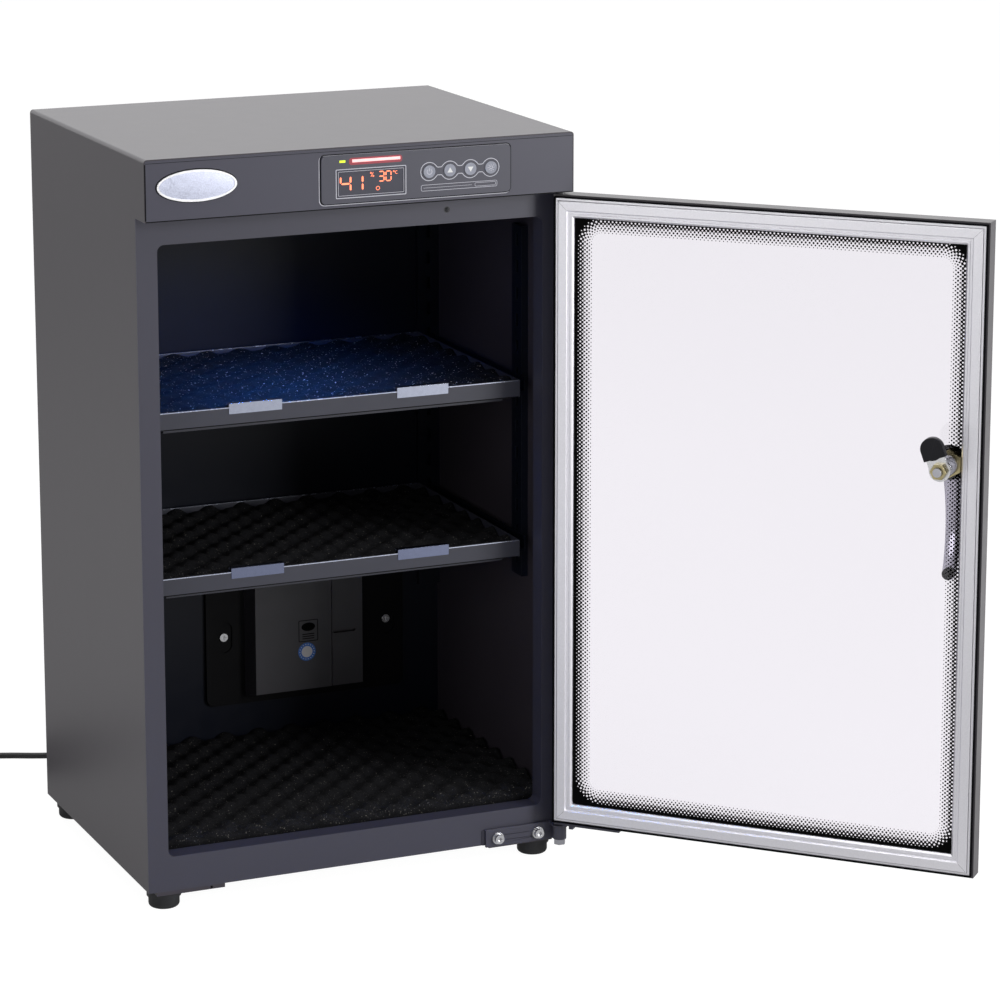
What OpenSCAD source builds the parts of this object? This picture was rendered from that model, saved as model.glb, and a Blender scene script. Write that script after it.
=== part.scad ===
// Camera dry cabinet: a steel case on four rubber feet, two sliding trays, a dehumidifier on the back wall,
// a head with a control panel, and a glazed door on two pivots with a swing-handle cam lock.
// X runs to the right, Y to the back and Z up. The origin is on the floor, below the middle of the case.
// The door stands open as it rests. Its pieces are drawn shut and turned about the pivots.

/* [Case] */
// Width of the case
case_w = 400; // [340:1:480]
// Depth of the case behind the face of the front frame
case_d = 302; // [240:1:380]
// Height of the case without its feet
case_h = 660; // [600:1:760]
// Thickness of the painted sheet
skin_t = 1.2; // [0.8:0.1:2]
// Outer radius of the bends along the top
bend_r = 3; // [2.4:0.1:6]
// Height of the head over the door
head_h = 54; // [50:1:80]
// How far the head stands out over the front frame
head_proud = 25; // [25:0.5:32]

/* [Front frame] */
// Width of each stile beside the opening
stile_w = 19; // [15:0.5:30]
// Height of the rail over the opening
top_rail_h = 24.5; // [20:0.5:40]
// Height of the rail under the opening
sill_h = 31.5; // [26:0.5:50]
// Depth of the flange that turns in around the opening
return_d = 19; // [12:0.5:24]
// Radius of the corners of the opening
opening_r = 6; // [3:0.5:12]

/* [Linings] */
// Distance from the back of the case to the back lining
liner_in = 16; // [13.5:0.5:60]
// How far the floor lining lies below the edge of the opening
floor_drop = 1.5; // [1.3:0.1:6]
// Distance from the top of the opening to the ceiling lining
ceiling_rise = 18.5; // [10:0.5:20]

/* [Feet] */
// Height of a foot
foot_h = 15.3; // [12:0.1:24]
// Radius of a foot
foot_r = 15.5; // [12:0.5:17]
// Distance of a foot's middle from the side of the case
foot_in_x = 20; // [18:0.5:40]
// Distance of a foot's middle from the front and the back of the case
foot_in_y = 18; // [17.5:0.5:40]
// Radius of the screw in a foot
foot_screw_r = 3; // [2:0.25:4]
// Height of the pads that are pressed down out of the bottom to carry the feet
pad_h = 3.7; // [2:0.1:5]
// Length of a pad
pad_l = 63.5; // [50:0.5:80]
// Depth of a pad
pad_d = 50; // [40:0.5:70]
// Distance of a pad from the side of the case
pad_in = 8; // [5:0.5:12]

/* [Trays] */
// Distance from the side of a tray to the side of the case
tray_side = 24; // [20:0.5:34]
// Distance from the front of the frame to the front of a tray
tray_front = 37; // [34:0.5:60]
// Distance from the back of a tray to the back lining
tray_back_gap = 9; // [7.5:0.5:30]
// Height of a tray's walls
tray_h = 16; // [12:0.5:24]
// Height of the underside of the lower tray over the bottom of the case
tray_z = 259; // [240:1:280]
// Number of slots between the two trays
tray_slots = 6; // [5:1:7]
// Height of the stiffening bar under the front of a tray
bar_h = 4.5; // [3:0.5:8]
// Width of a clip on the front of a tray
clip_w = 50; // [30:1:70]
// Distance of a clip from the middle of the tray
clip_x = 80; // [50:1:110]
// Height of a clip
clip_h = 9.5; // [6:0.5:12]
// How far a clip stands up over the tray's wall
clip_rise = 3.4; // [1:0.1:5]
// How far a tray slides out
tray_travel = 180; // [100:5:200]

/* [Slotted strips] */
// Width of a slotted strip
strip_w = 22; // [18:0.5:24]
// How far a slotted strip stands off its wall
strip_d = 6.5; // [5:0.5:9]
// Distance between slots
slot_pitch = 25; // [20:1:30]
// Height of a slot
slot_h = 12; // [8:0.5:14]
// Width of a slot
slot_w = 4; // [3:0.25:6]
// Distance from the front of the frame to the middle of a front strip
strip_y = 81; // [76:1:110]
// Height of the lower end of a front strip over the bottom of the case
strip_z = 230; // [215:1:235]
// Height of the lower end of a rear strip over the bottom of the case
rear_strip_z = 171; // [150:1:225]
// Height of the upper end of the strips over the bottom of the case
strip_top = 560; // [520:1:575]

/* [Foam] */
// Thickness of an egg-crate mat, to its crests
mat_t = 14; // [10:0.5:14]
// Distance between a crest and the next hollow
mat_step = 17; // [12:0.5:24]
// Depth of the hollows of a mat
mat_wave = 7; // [4:0.5:8]

/* [Dehumidifier] */
// Distance from the middle of the case to the middle of the dehumidifier
unit_x = 58; // [30:1:62]
// Width of its back plate
unit_w = 204; // [180:1:216]
// Height of its back plate
unit_h = 150; // [120:1:165]
// Height of its lower edge over the bottom of the case
unit_z = 72; // [62:1:80]
// Width of its raised cover
cover_w = 122; // [100:1:140]
// How far the cover stands out from the back plate
cover_d = 18; // [12:0.5:24]

/* [Control panel] */
// Width of the panel
panel_w = 178; // [170:1:200]
// Height of the panel
panel_h = 42; // [38:0.5:44]
// Distance from the middle of the case to the middle of the panel
panel_x = 49; // [30:1:80]
// Width of the display window
screen_w = 64; // [50:0.5:66]
// Height of the display window
screen_h = 24; // [18:0.5:26]
// Radius of a button
button_r = 5.5; // [4:0.25:7]
// Distance between buttons
button_pitch = 19.5; // [16:0.5:20]
// Travel of a button
button_travel = 0.8; // [0.3:0.1:1]

/* [Badge] */
// Width of the oval plate
badge_w = 72; // [50:1:90]
// Height of the oval plate
badge_h = 27.5; // [20:0.5:34]
// Distance from the left side of the case to the middle of the plate
badge_in = 47; // [46:1:80]

/* [Door] */
// Gap between the door's edge and the side of the case
door_side_gap = 1.25; // [0.8:0.05:3]
// Gap between the door and the head
door_top_gap = 2.5; // [1.5:0.1:5]
// Height of the door's lower edge over the bottom of the case
door_rise = 18.5; // [18.5:0.5:24]
// Distance from the front frame to the outer face of the shut door
door_out = 24; // [23:0.25:25]
// Width of the door's frame, up to the glass
door_bar_w = 20; // [19:0.5:28]
// Wall of the hollow bars
bar_wall = 1.8; // [1.2:0.1:2]
// Thickness of the glass
glass_t = 4; // [3:0.25:5]
// Distance from the door's edge to the metal trim
trim_in = 4.2; // [4:0.1:6]
// Width of the metal trim
trim_w = 15.5; // [14:0.25:16]
// Thickness of the metal trim
trim_t = 4.5; // [3.5:0.25:5]
// Gap between the trim and the front frame when the door is shut
trim_gap = 2; // [1.5:0.1:3]
// Angle at which the door stands open
door_angle = 134; // [60:1:160]

/* [Hinges] */
// Distance from the side of the case to the pivots
pivot_in = 6; // [5.75:0.05:7]
// Distance from the front frame to the pivots
pivot_out = 13; // [12.75:0.05:13.5]
// Radius of the pivots
pivot_r = 2.5; // [2:0.1:2.8]
// Radius of a bush
bush_r = 4; // [3.4:0.1:4.2]
// Length of the lower bracket
bracket_l = 70; // [60:1:90]
// Thickness of the bracket
bracket_t = 2.5; // [2:0.1:3]
// Distance between the bracket's screws
bracket_pitch = 40; // [30:1:50]

/* [Lock] */
// Distance from the side of the case to the lock
lock_in = 32.5; // [32.5:0.5:60]
// Height of the lock over the bottom of the case
lock_h = 391; // [320:1:450]
// Radius of the lock's barrel
barrel_r = 9; // [7:0.25:9.5]
// Radius of the spindle
spindle_r = 4; // [3:0.1:5]
// Length of the handle below its hub
handle_l = 100; // [70:1:120]
// How far the handle bows out
handle_bow = 13; // [8:0.5:20]
// Length of the cam from the spindle to its tip
cam_l = 29; // [24:0.5:30]
// Width of the cam
cam_w = 19; // [15:0.5:20]
// Lean of the cam away from upright
cam_lean = 20; // [0:1:30]

/* [Cord] */
// Diameter of the cord
cord_d = 6; // [5:0.25:6]
// Outer radius of the coil, at the middle of the cord
coil_out_r = 44; // [42:0.5:45]
// Turns in each of the coil's two layers
layer_turns = 2.5; // [1.5:1:2.5]

/* [Hidden] */
$fn = 48;

// Planes of the case
front_y = -case_d / 2;
back_y = case_d / 2;
base_z = foot_h + pad_h;
top_z = base_z + case_h;
head_z = top_z - head_h;
face_y = front_y - head_proud;
in_x = case_w / 2 - skin_t;
liner_y = back_y - liner_in;
sill_z = base_z + sill_h;
lintel_z = head_z - top_rail_h;
opening_half = case_w / 2 - stile_w;
floor_z = sill_z - floor_drop;
ceiling_z = lintel_z + ceiling_rise;
// One overrun serves all cuts, and one small gap parts soft or moving pieces
overrun = 1;
soft_gap = 0.3;
run_gap = 0.05;
// The share of a length at its middle
half_share = 0.5;

// Case details
side_flange = 14;
cheek_d = 8;
head_lap = 16;
pan_flange = 12;
pad_hole_r = 1.2;
vent_rows = 9;
vent_w = 64;
vent_h = 4;
vent_pitch = 13;
vent_x = [-35, 35];

// Foot details
foot_lip = 2.5;
foot_waist = 1.5;
foot_waist_r = foot_r - foot_waist;
foot_round = 3.5;
foot_recess_r = 6.5;
foot_recess_h = 8;
screw_head_h = 2.6;

// Trays and their rails
tray_y0 = front_y + tray_front;
tray_y1 = liner_y - tray_back_gap;
lower_z = base_z + tray_z;
upper_z = lower_z + tray_slots * slot_pitch;
tray_half = case_w / 2 - tray_side;
bar_in = 13;
bar_half = tray_half - bar_in;
bar_back = 10;
bar_y = tray_y0 + bar_back;
bar_d = 12;
rail_t = 1.5;
rail_lap = 10;
rail_wall_h = 14;
rail_front = 60;
rail_gap = 0.3;
hook_w = 2.6;
hook_d = 3;
strip_t = 1.2;
strip_face_x = in_x - strip_d;
clip_t = 0.8;
clip_lap = 6;
first_slot = 8;
// The lowest slot of a front strip lies level with the hooks of the lower rails
slot_z0 = lower_z - rail_gap - rail_t + rail_wall_h - slot_pitch;

// Head and panel details
panel_t = 1.6;
panel_r = 4;
panel_rise = 26;
panel_z = head_z + panel_rise;
panel_lap = 4;
screen_dx = -43;
screen_dz = -4;
screen_t = 1.4;
button_dx = 11.5;
button_dz = 1.5;
button_lip = 0.9;
button_lip_t = 1;
button_proud = 0.9;
lens_w = 5.5;
lens_h = 2;
lens_dx = -69.5;
lens_dz = 15.5;
glow_w = 45;
glow_h = 2.6;
glow_dx = -38;
board_t = 1.6;
board_gap = 8;
board_less = 14;
board_w = panel_w - board_less;
board_h = panel_h - board_less;
post_r = 2.4;
switch_w = 6;
sensor_x = 88.5;
sensor_drop = 12.2;
sensor_z = head_z - sensor_drop;
sensor_r = 2.9;
sensor_rim = 1.2;
sensor_proud = 1.2;
sensor_dome_r = sensor_r - sensor_rim / 2;
sensor_l = 7;
badge_t = 1.6;
badge_rim = 1.8;
badge_sink = 0.5;
badge_rise = 29.5;
badge_z = head_z + badge_rise;
lamp_w = 120;
lamp_d = 26;
lamp_h = 9;
lamp_back = 62;
lamp_y = front_y + lamp_back;
lamp_wall = 1.5;

// Door, shut: distances in front of the front frame, and from the door's edge inwards
door_half = case_w / 2 - door_side_gap;
door_z0 = base_z + door_rise;
door_z1 = head_z - door_top_gap;
door_zc = (door_z0 + door_z1) / 2;
door_half_h = (door_z1 - door_z0) / 2;
trim_face = trim_gap;
glass_in = trim_face + trim_t;
glass_out = glass_in + glass_t;
seat_step = 1.1;
seat_out = glass_in - seat_step;
seat_less = 0.2;
seat_w = trim_in - seat_less;
seat_lip = 3.8;
glass_u = seat_w + seat_lip;
flat_u = door_bar_w * 0.45;
edge_cut = 1.5;
seal_gap = 0.5;
seal_base = 2.4;
seal_edge = 0.3;
seal_lip_u = 2.3;
seal_lip_w = 1.6;
seal_r = 3;
pivot_x = case_w / 2 - pivot_in;
pivot_y = front_y - pivot_out;

// Hinge details
plate_t = 3;
plate_l = 60;
plate_u = 8;
plate_d = 13;
bracket_h = 16.7;
bracket_drop = 1.5;
plate_gap = 0.3;
bracket_top = base_z + door_rise - plate_t - plate_gap;
spacer_t = 1.2;
ear_r = 7;
neck_w = 13;
boss_r = 6.2;
boss_drop = 11.5;
bolt_head_h = 5;
bolt_head_r = 5.6;
bush_l = 12;
tab_w = 4;
tab_d = 6;
tab_h = 3.5;
tab_in = 10;
screw_r = 2.5;
screw_clear = 0.1;
cap_r = 4.3;
cap_h = 4;
cap_hex_r = 2.2;
cap_hex_d = 2.2;
washer_r = 5.6;
washer_t = 1;
screw_deep = 8;
screw_in = 24;
screw_rise = 6.3;
screw_z = base_z + screw_rise;
pin_cap_h = 3;
pin_lip = 0.7;

// Lock details
lock_x = lock_in - case_w / 2;
lock_z = base_z + lock_h;
barrel_in = 19.5;
flange_r = 10.8;
flange_t = 3;
nut_flat = 11;
nut_t = 5;
hub_r = 11.5;
hub_t = 12;
hub_gap = 0.3;
lever_t = 5;
lever_top_w = 19;
lever_end_w = 12;
lever_end_out = 16.5;
bumper_r = 5.2;
cam_t = 2.5;
cam_gap = 1.2;
sleeve_t = 7;
sleeve_l = 19;
sleeve_wall = 1;
sleeve_w = cam_w + sleeve_wall;
cam_nut_r = 7.5;
cam_nut_t = 5;
spindle_end = 3;
key_r = 5.5;
key_l = 6;
key_proud = 0.6;
slot_key_w = 1.2;
slot_key_l = 6.5;
slot_key_d = 3;

// Dehumidifier details
unit_t = 4;
unit_r = 8;
lobe_w = 17;
lobe_h = 31;
lobe_d = 1.6;
lobe_x = 84;
lobe_z = 68;
cover_in = 39;
cover_z = 7;
cover_less = 14;
cover_h = unit_h - cover_less;
cover_slope = 5;
cover_step_share = 0.68;
cover_low = 4;
vane_w = 23;
vane_h = 3;
vane_z = 58;
head_r = 4;
head_t = 2;

// Cord: the gland, the plug, and the route's points from the gland to the coil, on the floor from the tenth
gland_x = -60;
gland_z = 74;
gland_l = 27;
gland_flange_r = 9;
gland_flange_t = 2.5;
gland_r0 = 6.5;
gland_r1 = 4.2;
gland_ribs = 4;
gland_rib_share = 0.09;
gland_step = 0.9;
cord_z = 3.6;
coil_x = -262;
coil_y = 296;
turn_gap = 0.6;
layer_gap = 0.5;
coil_tail = 40;
tube_sides = 8;
coil_sides = 6;
coil_steps = 24;
plug_l = 38;
plug_w = 27;
plug_neck = 12;
plug_pin_r = 2.3;
plug_pin_l = 18;
plug_pin_pitch = 19;
route = [
    [-60, 178, 74], [-60, 191, 74], [-61, 205, 72], [-62, 219, 67], [-64, 232, 59], [-66, 244, 48],
    [-69, 255, 36], [-73, 266, 24], [-78, 277, 13], [-85, 287, 6], [-95, 295, cord_z], [-108, 300, cord_z],
    [-122, 303, cord_z], [-137, 306, cord_z], [-152, 310, cord_z], [-167, 316, cord_z], [-182, 323, cord_z],
    [-197, 329, cord_z], [-212, 334, cord_z], [-227, 338, cord_z], [-242, 340, cord_z],
    [-256, 340, cord_z]];

// Small helpers

// A flat rectangle with round corners, about its middle
module round_rect(w, h, r) {
    square([w - 2 * r, h], center = true);
    square([w, h - 2 * r], center = true);
    for (x = [-1, 1], y = [-1, 1])
        translate([x * (w / 2 - r), y * (h / 2 - r)]) circle(r);
}

// Turns a flat outline drawn in X and Z into a plate that runs from y0 to y1
module plate_xz(y0, y1) {
    translate([0, y1, 0]) rotate([90, 0, 0]) linear_extrude(y1 - y0) children();
}

// A box between two corners
module span(a, b) {
    translate(a) cube(b - a);
}

// A round bar along Y from y0 to y1
module bar_y(x, z, r, y0, y1, sides = 48) {
    translate([x, y0, z]) rotate([-90, 0, 0]) cylinder(r = r, h = y1 - y0, $fn = sides);
}

// A round bar upright from z0 to z1
module bar_z(x, y, r, z0, z1, sides = 48) {
    translate([x, y, z0]) cylinder(r = r, h = z1 - z0, $fn = sides);
}

// Puts what is drawn shut into the door's open place
module with_door() {
    translate([pivot_x, pivot_y, 0]) rotate([0, 0, door_angle])
        translate([-pivot_x, -pivot_y, 0]) children();
}

// The tube's rings around a line of points
function unit(v) = v / norm(v);
function along(p, i) = unit(p[min(i + 1, len(p) - 1)] - p[max(i - 1, 0)]);
function ring_point(c, t, r, a) =
    let (s = unit(cross(t, [0, 0, 1])), u = cross(s, t)) c + r * (s * cos(a) + u * sin(a));

module tube(p, r, sides) {
    n = len(p);
    points = [for (i = [0:n - 1], k = [0:sides - 1])
        ring_point(p[i], along(p, i), r, 360 * (k + half_share) / sides)];
    walls = [for (i = [0:n - 2], k = [0:sides - 1])
        let (m = (k + 1) % sides, a = i * sides + k, b = i * sides + m, c = a + sides, d = b + sides)
            each [[a, b, d], [a, d, c]]];
    caps = [for (k = [1:sides - 2]) each [[0, k + 1, k],
        [(n - 1) * sides, (n - 1) * sides + k, (n - 1) * sides + k + 1]]];
    polyhedron(points = points, faces = concat(walls, caps));
}

// An egg-crate mat between two corners, its hollows and crests in a chequered pattern
module egg_mat(x0, x1, y0, y1, z0) {
    nx = max(2, round((x1 - x0) / mat_step));
    ny = max(2, round((y1 - y0) / mat_step));
    crest = z0 + mat_t;
    top = [for (i = [0:nx], j = [0:ny])
        [x0 + (x1 - x0) * i / nx, y0 + (y1 - y0) * j / ny, crest - mat_wave * ((i + j) % 2)]];
    loop = concat([for (i = [0:nx - 1]) [i, 0]], [for (j = [0:ny - 1]) [nx, j]],
        [for (i = [nx:-1:1]) [i, ny]], [for (j = [ny:-1:1]) [0, j]]);
    m = len(loop);
    low = [for (c = loop) [x0 + (x1 - x0) * c[0] / nx, y0 + (y1 - y0) * c[1] / ny, z0]];
    base = len(top);
    function at(c) = c[0] * (ny + 1) + c[1];
    top_faces = [for (i = [0:nx - 1], j = [0:ny - 1])
        let (a = at([i, j]), b = at([i, j + 1]), c = at([i + 1, j + 1]), d = at([i + 1, j]))
            each [[a, b, c], [a, c, d]]];
    side_faces = [for (k = [0:m - 1])
        let (a = at(loop[k]), b = at(loop[(k + 1) % m]), c = base + (k + 1) % m, d = base + k)
            each [[d, a, b], [d, b, c]]];
    low_faces = [for (k = [0:m - 1]) [base + m, base + k, base + (k + 1) % m]];
    polyhedron(points = concat(top, low, [[(x0 + x1) / 2, (y0 + y1) / 2, z0]]),
        faces = concat(top_faces, side_faces, low_faces));
}

// Case

// Left side, top and right side, bent from one sheet, cut back under the head
module case_wrap() {
    color([0.33, 0.32, 0.34]) difference() {
        plate_xz(face_y, back_y) difference() {
            union() {
                translate([0, (base_z + top_z) / 2]) round_rect(case_w, case_h, bend_r);
                translate([-case_w / 2, base_z]) square([case_w, case_h / 2]);
            }
            translate([0, (base_z + top_z) / 2 - skin_t])
                round_rect(2 * in_x, case_h, bend_r - skin_t);
            translate([-in_x, base_z - overrun]) square([2 * in_x, case_h / 2]);
        }
        span([-case_w, face_y - overrun, base_z - overrun], [case_w, front_y + skin_t, head_z]);
    }
}

// The face around the opening, with its inward flange and side flanges
module front_frame() {
    color([0.27, 0.28, 0.33]) difference() {
        union() {
            plate_xz(front_y, front_y + skin_t) {
                translate([-case_w / 2, base_z]) square([case_w, head_z - base_z]);
                translate([-in_x, head_z]) square([2 * in_x, head_lap]);
            }
            plate_xz(front_y, front_y + return_d) opening_outline(skin_t);
            for (s = [-1, 1])
                span([min(s * in_x, s * (in_x - skin_t)), front_y, base_z + skin_t],
                    [max(s * in_x, s * (in_x - skin_t)), front_y + side_flange, ceiling_z]);
        }
        plate_xz(front_y - overrun, front_y + return_d + overrun) opening_outline(0);
        bar_y(sensor_x, sensor_z, sensor_r, front_y - overrun, front_y + side_flange);
        for (x = screw_x()) bar_y(x, screw_z, screw_r + screw_clear, front_y - overrun,
            front_y + skin_t + overrun);
    }
}

module opening_outline(more) {
    translate([0, (sill_z + lintel_z) / 2])
        round_rect(2 * (opening_half + more), lintel_z - sill_z + 2 * more, opening_r + more);
}

// What fills the wrap across its width above a height
module inside_wrap(z) {
    difference() {
        translate([0, (base_z + top_z) / 2 - skin_t]) round_rect(2 * in_x, case_h, bend_r - skin_t);
        translate([-case_w, z - case_h]) square([2 * case_w, case_h]);
    }
}

// The head's front and underside, with the cut-out behind the control panel
module head_fascia() {
    color([0.3, 0.3, 0.34]) difference() {
        union() {
            plate_xz(face_y, face_y + skin_t) inside_wrap(head_z);
            span([-in_x, face_y, head_z], [in_x, front_y, head_z + skin_t]);
            for (s = [-1, 1])
                span([min(s * in_x, s * (in_x - skin_t)), face_y, head_z],
                    [max(s * in_x, s * (in_x - skin_t)), face_y + cheek_d, top_z - bend_r]);
        }
        plate_xz(face_y - overrun, face_y + skin_t + overrun) translate([panel_x, panel_z])
            round_rect(panel_w - 2 * panel_lap, panel_h - 2 * panel_lap, panel_r);
        bar_z(pivot_x, pivot_y, pivot_r + run_gap, head_z - overrun, head_z + skin_t + overrun);
    }
}

// The back of the case, with louvre slots behind the dehumidifier and a hole for the cord
module rear_cover() {
    color([0.3, 0.3, 0.32]) difference() {
        union() {
            plate_xz(back_y - skin_t, back_y) inside_wrap(base_z + skin_t);
            difference() {
                span([-in_x, back_y - pan_flange, base_z + skin_t],
                    [in_x, back_y - skin_t, top_z - bend_r]);
                span([-in_x + skin_t, back_y - pan_flange - overrun, base_z + 2 * skin_t],
                    [in_x - skin_t, back_y, top_z - bend_r - skin_t]);
            }
        }
        for (x = vent_x, k = [0:vent_rows - 1])
            plate_xz(back_y - pan_flange, back_y + overrun)
                translate([unit_x + x, base_z + unit_z + vent_pitch * (k + 1)])
                    round_rect(vent_w, vent_h, vent_h * 0.45);
        bar_y(gland_x, gland_z, gland_r0, back_y - pan_flange, back_y + overrun);
    }
}

// A pad's box, smaller by a wall all round for its hollow
module pads(less, z0, z1) {
    for (x = [-1, 1], y = [-1, 1])
        translate([x * (case_w / 2 - pad_in - pad_l / 2), y * (case_d / 2 - pad_d / 2), z0])
            translate([-pad_l / 2 + less, -pad_d / 2 + less, 0])
                cube([pad_l - 2 * less, pad_d - 2 * less, z1 - z0]);
}

// The bottom of the case, a shallow pan with its flanges turned up and a pad pressed down over each foot
module base_pan() {
    color([0.24, 0.24, 0.26]) difference() {
        union() {
            span([-in_x, front_y + skin_t, base_z], [in_x, back_y, base_z + pan_flange]);
            pads(0, foot_h, base_z);
        }
        pads(skin_t, foot_h + skin_t, base_z + 2 * skin_t);
        bar_y(-case_w / 2 + pad_in + pad_l * 0.8, foot_h + pad_h / 2, pad_hole_r,
            front_y - overrun, front_y + 2 * skin_t);
        span([-in_x + 2 * skin_t, front_y + 2 * skin_t, base_z + skin_t],
            [in_x - 2 * skin_t, back_y - pan_flange, base_z + pan_flange + overrun]);
        for (s = [-1, 1])
            span([min(s * (in_x + overrun), s * (in_x - skin_t)), front_y, base_z + skin_t],
                [max(s * (in_x + overrun), s * (in_x - skin_t)), back_y + overrun,
                    base_z + pan_flange + overrun]);
        span([-case_w, back_y - pan_flange - overrun, base_z + skin_t],
            [case_w, back_y + overrun, base_z + pan_flange + overrun]);
        for (p = foot_places())
            bar_z(p[0], p[1], foot_screw_r + screw_clear, foot_h - overrun, base_z + 2 * skin_t);
        for (x = screw_x())
            bar_y(x, screw_z, screw_r + screw_clear, front_y, front_y + 3 * skin_t);
    }
}

module floor_liner() {
    color([0.12, 0.12, 0.14]) span([-in_x, front_y + return_d, floor_z - skin_t], [in_x, liner_y, floor_z]);
}

module ceiling_liner() {
    color([0.12, 0.12, 0.14]) span([-in_x, front_y + skin_t, ceiling_z],
        [in_x, liner_y, ceiling_z + skin_t]);
}

module back_liner() {
    color([0.12, 0.12, 0.14])
        span([-in_x, liner_y, floor_z - skin_t], [in_x, liner_y + skin_t, ceiling_z + skin_t]);
}

// Feet

function foot_places() = [for (x = [-1, 1], y = [-1, 1])
    [x * (case_w / 2 - foot_in_x), y * (case_d / 2 - foot_in_y)]];

// A rubber foot: a rim at the top, a slight waist, a rounded lower edge and a recess for its screw
module foot() {
    rotate_extrude($fn = 48) difference() {
        union() {
            square([foot_waist_r, foot_h]);
            translate([0, foot_h - 2 * foot_lip]) square([foot_r, 2 * foot_lip]);
        }
        translate([foot_waist_r - foot_round, 0]) difference() {
            translate([0, -overrun]) square([foot_round + overrun, foot_round + overrun]);
            translate([0, foot_round]) circle(foot_round);
        }
        translate([0, -overrun]) square([foot_recess_r, foot_recess_h + overrun]);
        square([foot_screw_r + screw_clear, foot_h + overrun]);
    }
}

module feet() {
    color([0.07, 0.07, 0.08]) for (p = foot_places()) translate([p[0], p[1], 0]) foot();
}

module foot_screws() {
    color([0.6, 0.6, 0.6]) for (p = foot_places()) {
        bar_z(p[0], p[1], foot_recess_r - 2 * foot_lip / 3, foot_recess_h - screw_head_h, foot_recess_h);
        bar_z(p[0], p[1], foot_screw_r, foot_recess_h - screw_head_h, base_z + pan_flange - skin_t);
    }
}

// Head

// A bare oval plate with a raised rim
module badge() {
    x = badge_in - case_w / 2;
    color([0.72, 0.72, 0.74]) difference() {
        plate_xz(face_y - badge_t, face_y) translate([x, badge_z])
            scale([badge_w / badge_h, 1]) circle(badge_h / 2);
        plate_xz(face_y - badge_t - overrun, face_y - badge_t + badge_sink) translate([x, badge_z])
            scale([(badge_w - 2 * badge_rim) / (badge_h - 2 * badge_rim), 1])
                circle(badge_h / 2 - badge_rim);
    }
}

function button_x(k) = panel_x + button_dx + k * button_pitch;

// The panel plate with its window, lens slots, button holes and the posts that carry the board
module control_panel() {
    color([0.16, 0.16, 0.18]) difference() {
        union() {
            plate_xz(face_y - panel_t, face_y) translate([panel_x, panel_z])
                round_rect(panel_w, panel_h, panel_r);
            for (x = [-1, 1], z = [-1, 1])
                bar_y(panel_x + x * (board_w / 2 - post_r), panel_z + z * (board_h / 2 - post_r), post_r,
                    face_y, face_y + board_gap);
        }
        plate_xz(face_y - panel_t - overrun, face_y + overrun) {
            translate([panel_x + screen_dx, panel_z + screen_dz])
                square([screen_w, screen_h], center = true);
            translate([panel_x + lens_dx, panel_z + lens_dz]) square([lens_w, lens_h], center = true);
            translate([panel_x + glow_dx, panel_z + lens_dz]) square([glow_w, glow_h], center = true);
            for (k = [0:3])
                translate([button_x(k), panel_z + button_dz]) circle(button_r + soft_gap);
        }
    }
}

module display_window() {
    color([0.1, 0.06, 0.05, 0.9]) plate_xz(face_y - panel_t + soft_gap, face_y + board_gap)
        translate([panel_x + screen_dx, panel_z + screen_dz]) square([screen_w, screen_h], center = true);
}

module status_lens() {
    color([0.3, 0.9, 0.2]) plate_xz(face_y - panel_t - soft_gap, face_y + board_gap)
        translate([panel_x + lens_dx, panel_z + lens_dz]) square([lens_w, lens_h], center = true);
}

module light_bar() {
    color([0.9, 0.15, 0.1]) plate_xz(face_y - panel_t - soft_gap, face_y + board_gap)
        translate([panel_x + glow_dx, panel_z + lens_dz]) square([glow_w, glow_h], center = true);
}

// The circuit board behind the panel, with a switch behind each button
module control_board() {
    color([0.1, 0.35, 0.2]) {
        span([panel_x - board_w / 2, face_y + board_gap, panel_z - board_h / 2],
            [panel_x + board_w / 2, face_y + board_gap + board_t, panel_z + board_h / 2]);
        for (k = [0:3])
            span([button_x(k) - switch_w / 2, face_y + button_lip_t + soft_gap + button_travel + soft_gap,
                panel_z + button_dz - switch_w / 2],
                [button_x(k) + switch_w / 2, face_y + board_gap, panel_z + button_dz + switch_w / 2]);
    }
}

// A round button with a low dome, kept behind the panel by its lip
module button(k) {
    color([0.62, 0.62, 0.65]) {
        bar_y(button_x(k), panel_z + button_dz, button_r, face_y - panel_t - button_proud,
            face_y + soft_gap);
        bar_y(button_x(k), panel_z + button_dz, button_r + button_lip, face_y + soft_gap,
            face_y + soft_gap + button_lip_t);
    }
}

// The eye that sees whether the door is shut
module door_sensor() {
    color([0.1, 0.1, 0.1]) {
        bar_y(sensor_x, sensor_z, sensor_r - run_gap, front_y, front_y + skin_t);
        bar_y(sensor_x, sensor_z, sensor_r + sensor_rim, front_y + skin_t, front_y + sensor_l);
        translate([sensor_x, front_y + sensor_dome_r - sensor_proud, sensor_z]) sphere(sensor_dome_r);
    }
}

module lamp_housing() {
    color([0.85, 0.85, 0.86]) difference() {
        span([-lamp_w / 2, lamp_y - lamp_d / 2, ceiling_z - lamp_h],
            [lamp_w / 2, lamp_y + lamp_d / 2, ceiling_z]);
        span([-lamp_w / 2 + lamp_wall, lamp_y - lamp_d / 2 + lamp_wall, ceiling_z - lamp_h - overrun],
            [lamp_w / 2 - lamp_wall, lamp_y + lamp_d / 2 - lamp_wall, ceiling_z - lamp_wall]);
    }
}

module lamp_lens() {
    color([0.75, 0.85, 1])
        span([-lamp_w / 2 + lamp_wall, lamp_y - lamp_d / 2 + lamp_wall, ceiling_z - lamp_h],
        [lamp_w / 2 - lamp_wall, lamp_y + lamp_d / 2 - lamp_wall, ceiling_z - lamp_h + lamp_wall]);
}

// Slotted strips

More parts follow.
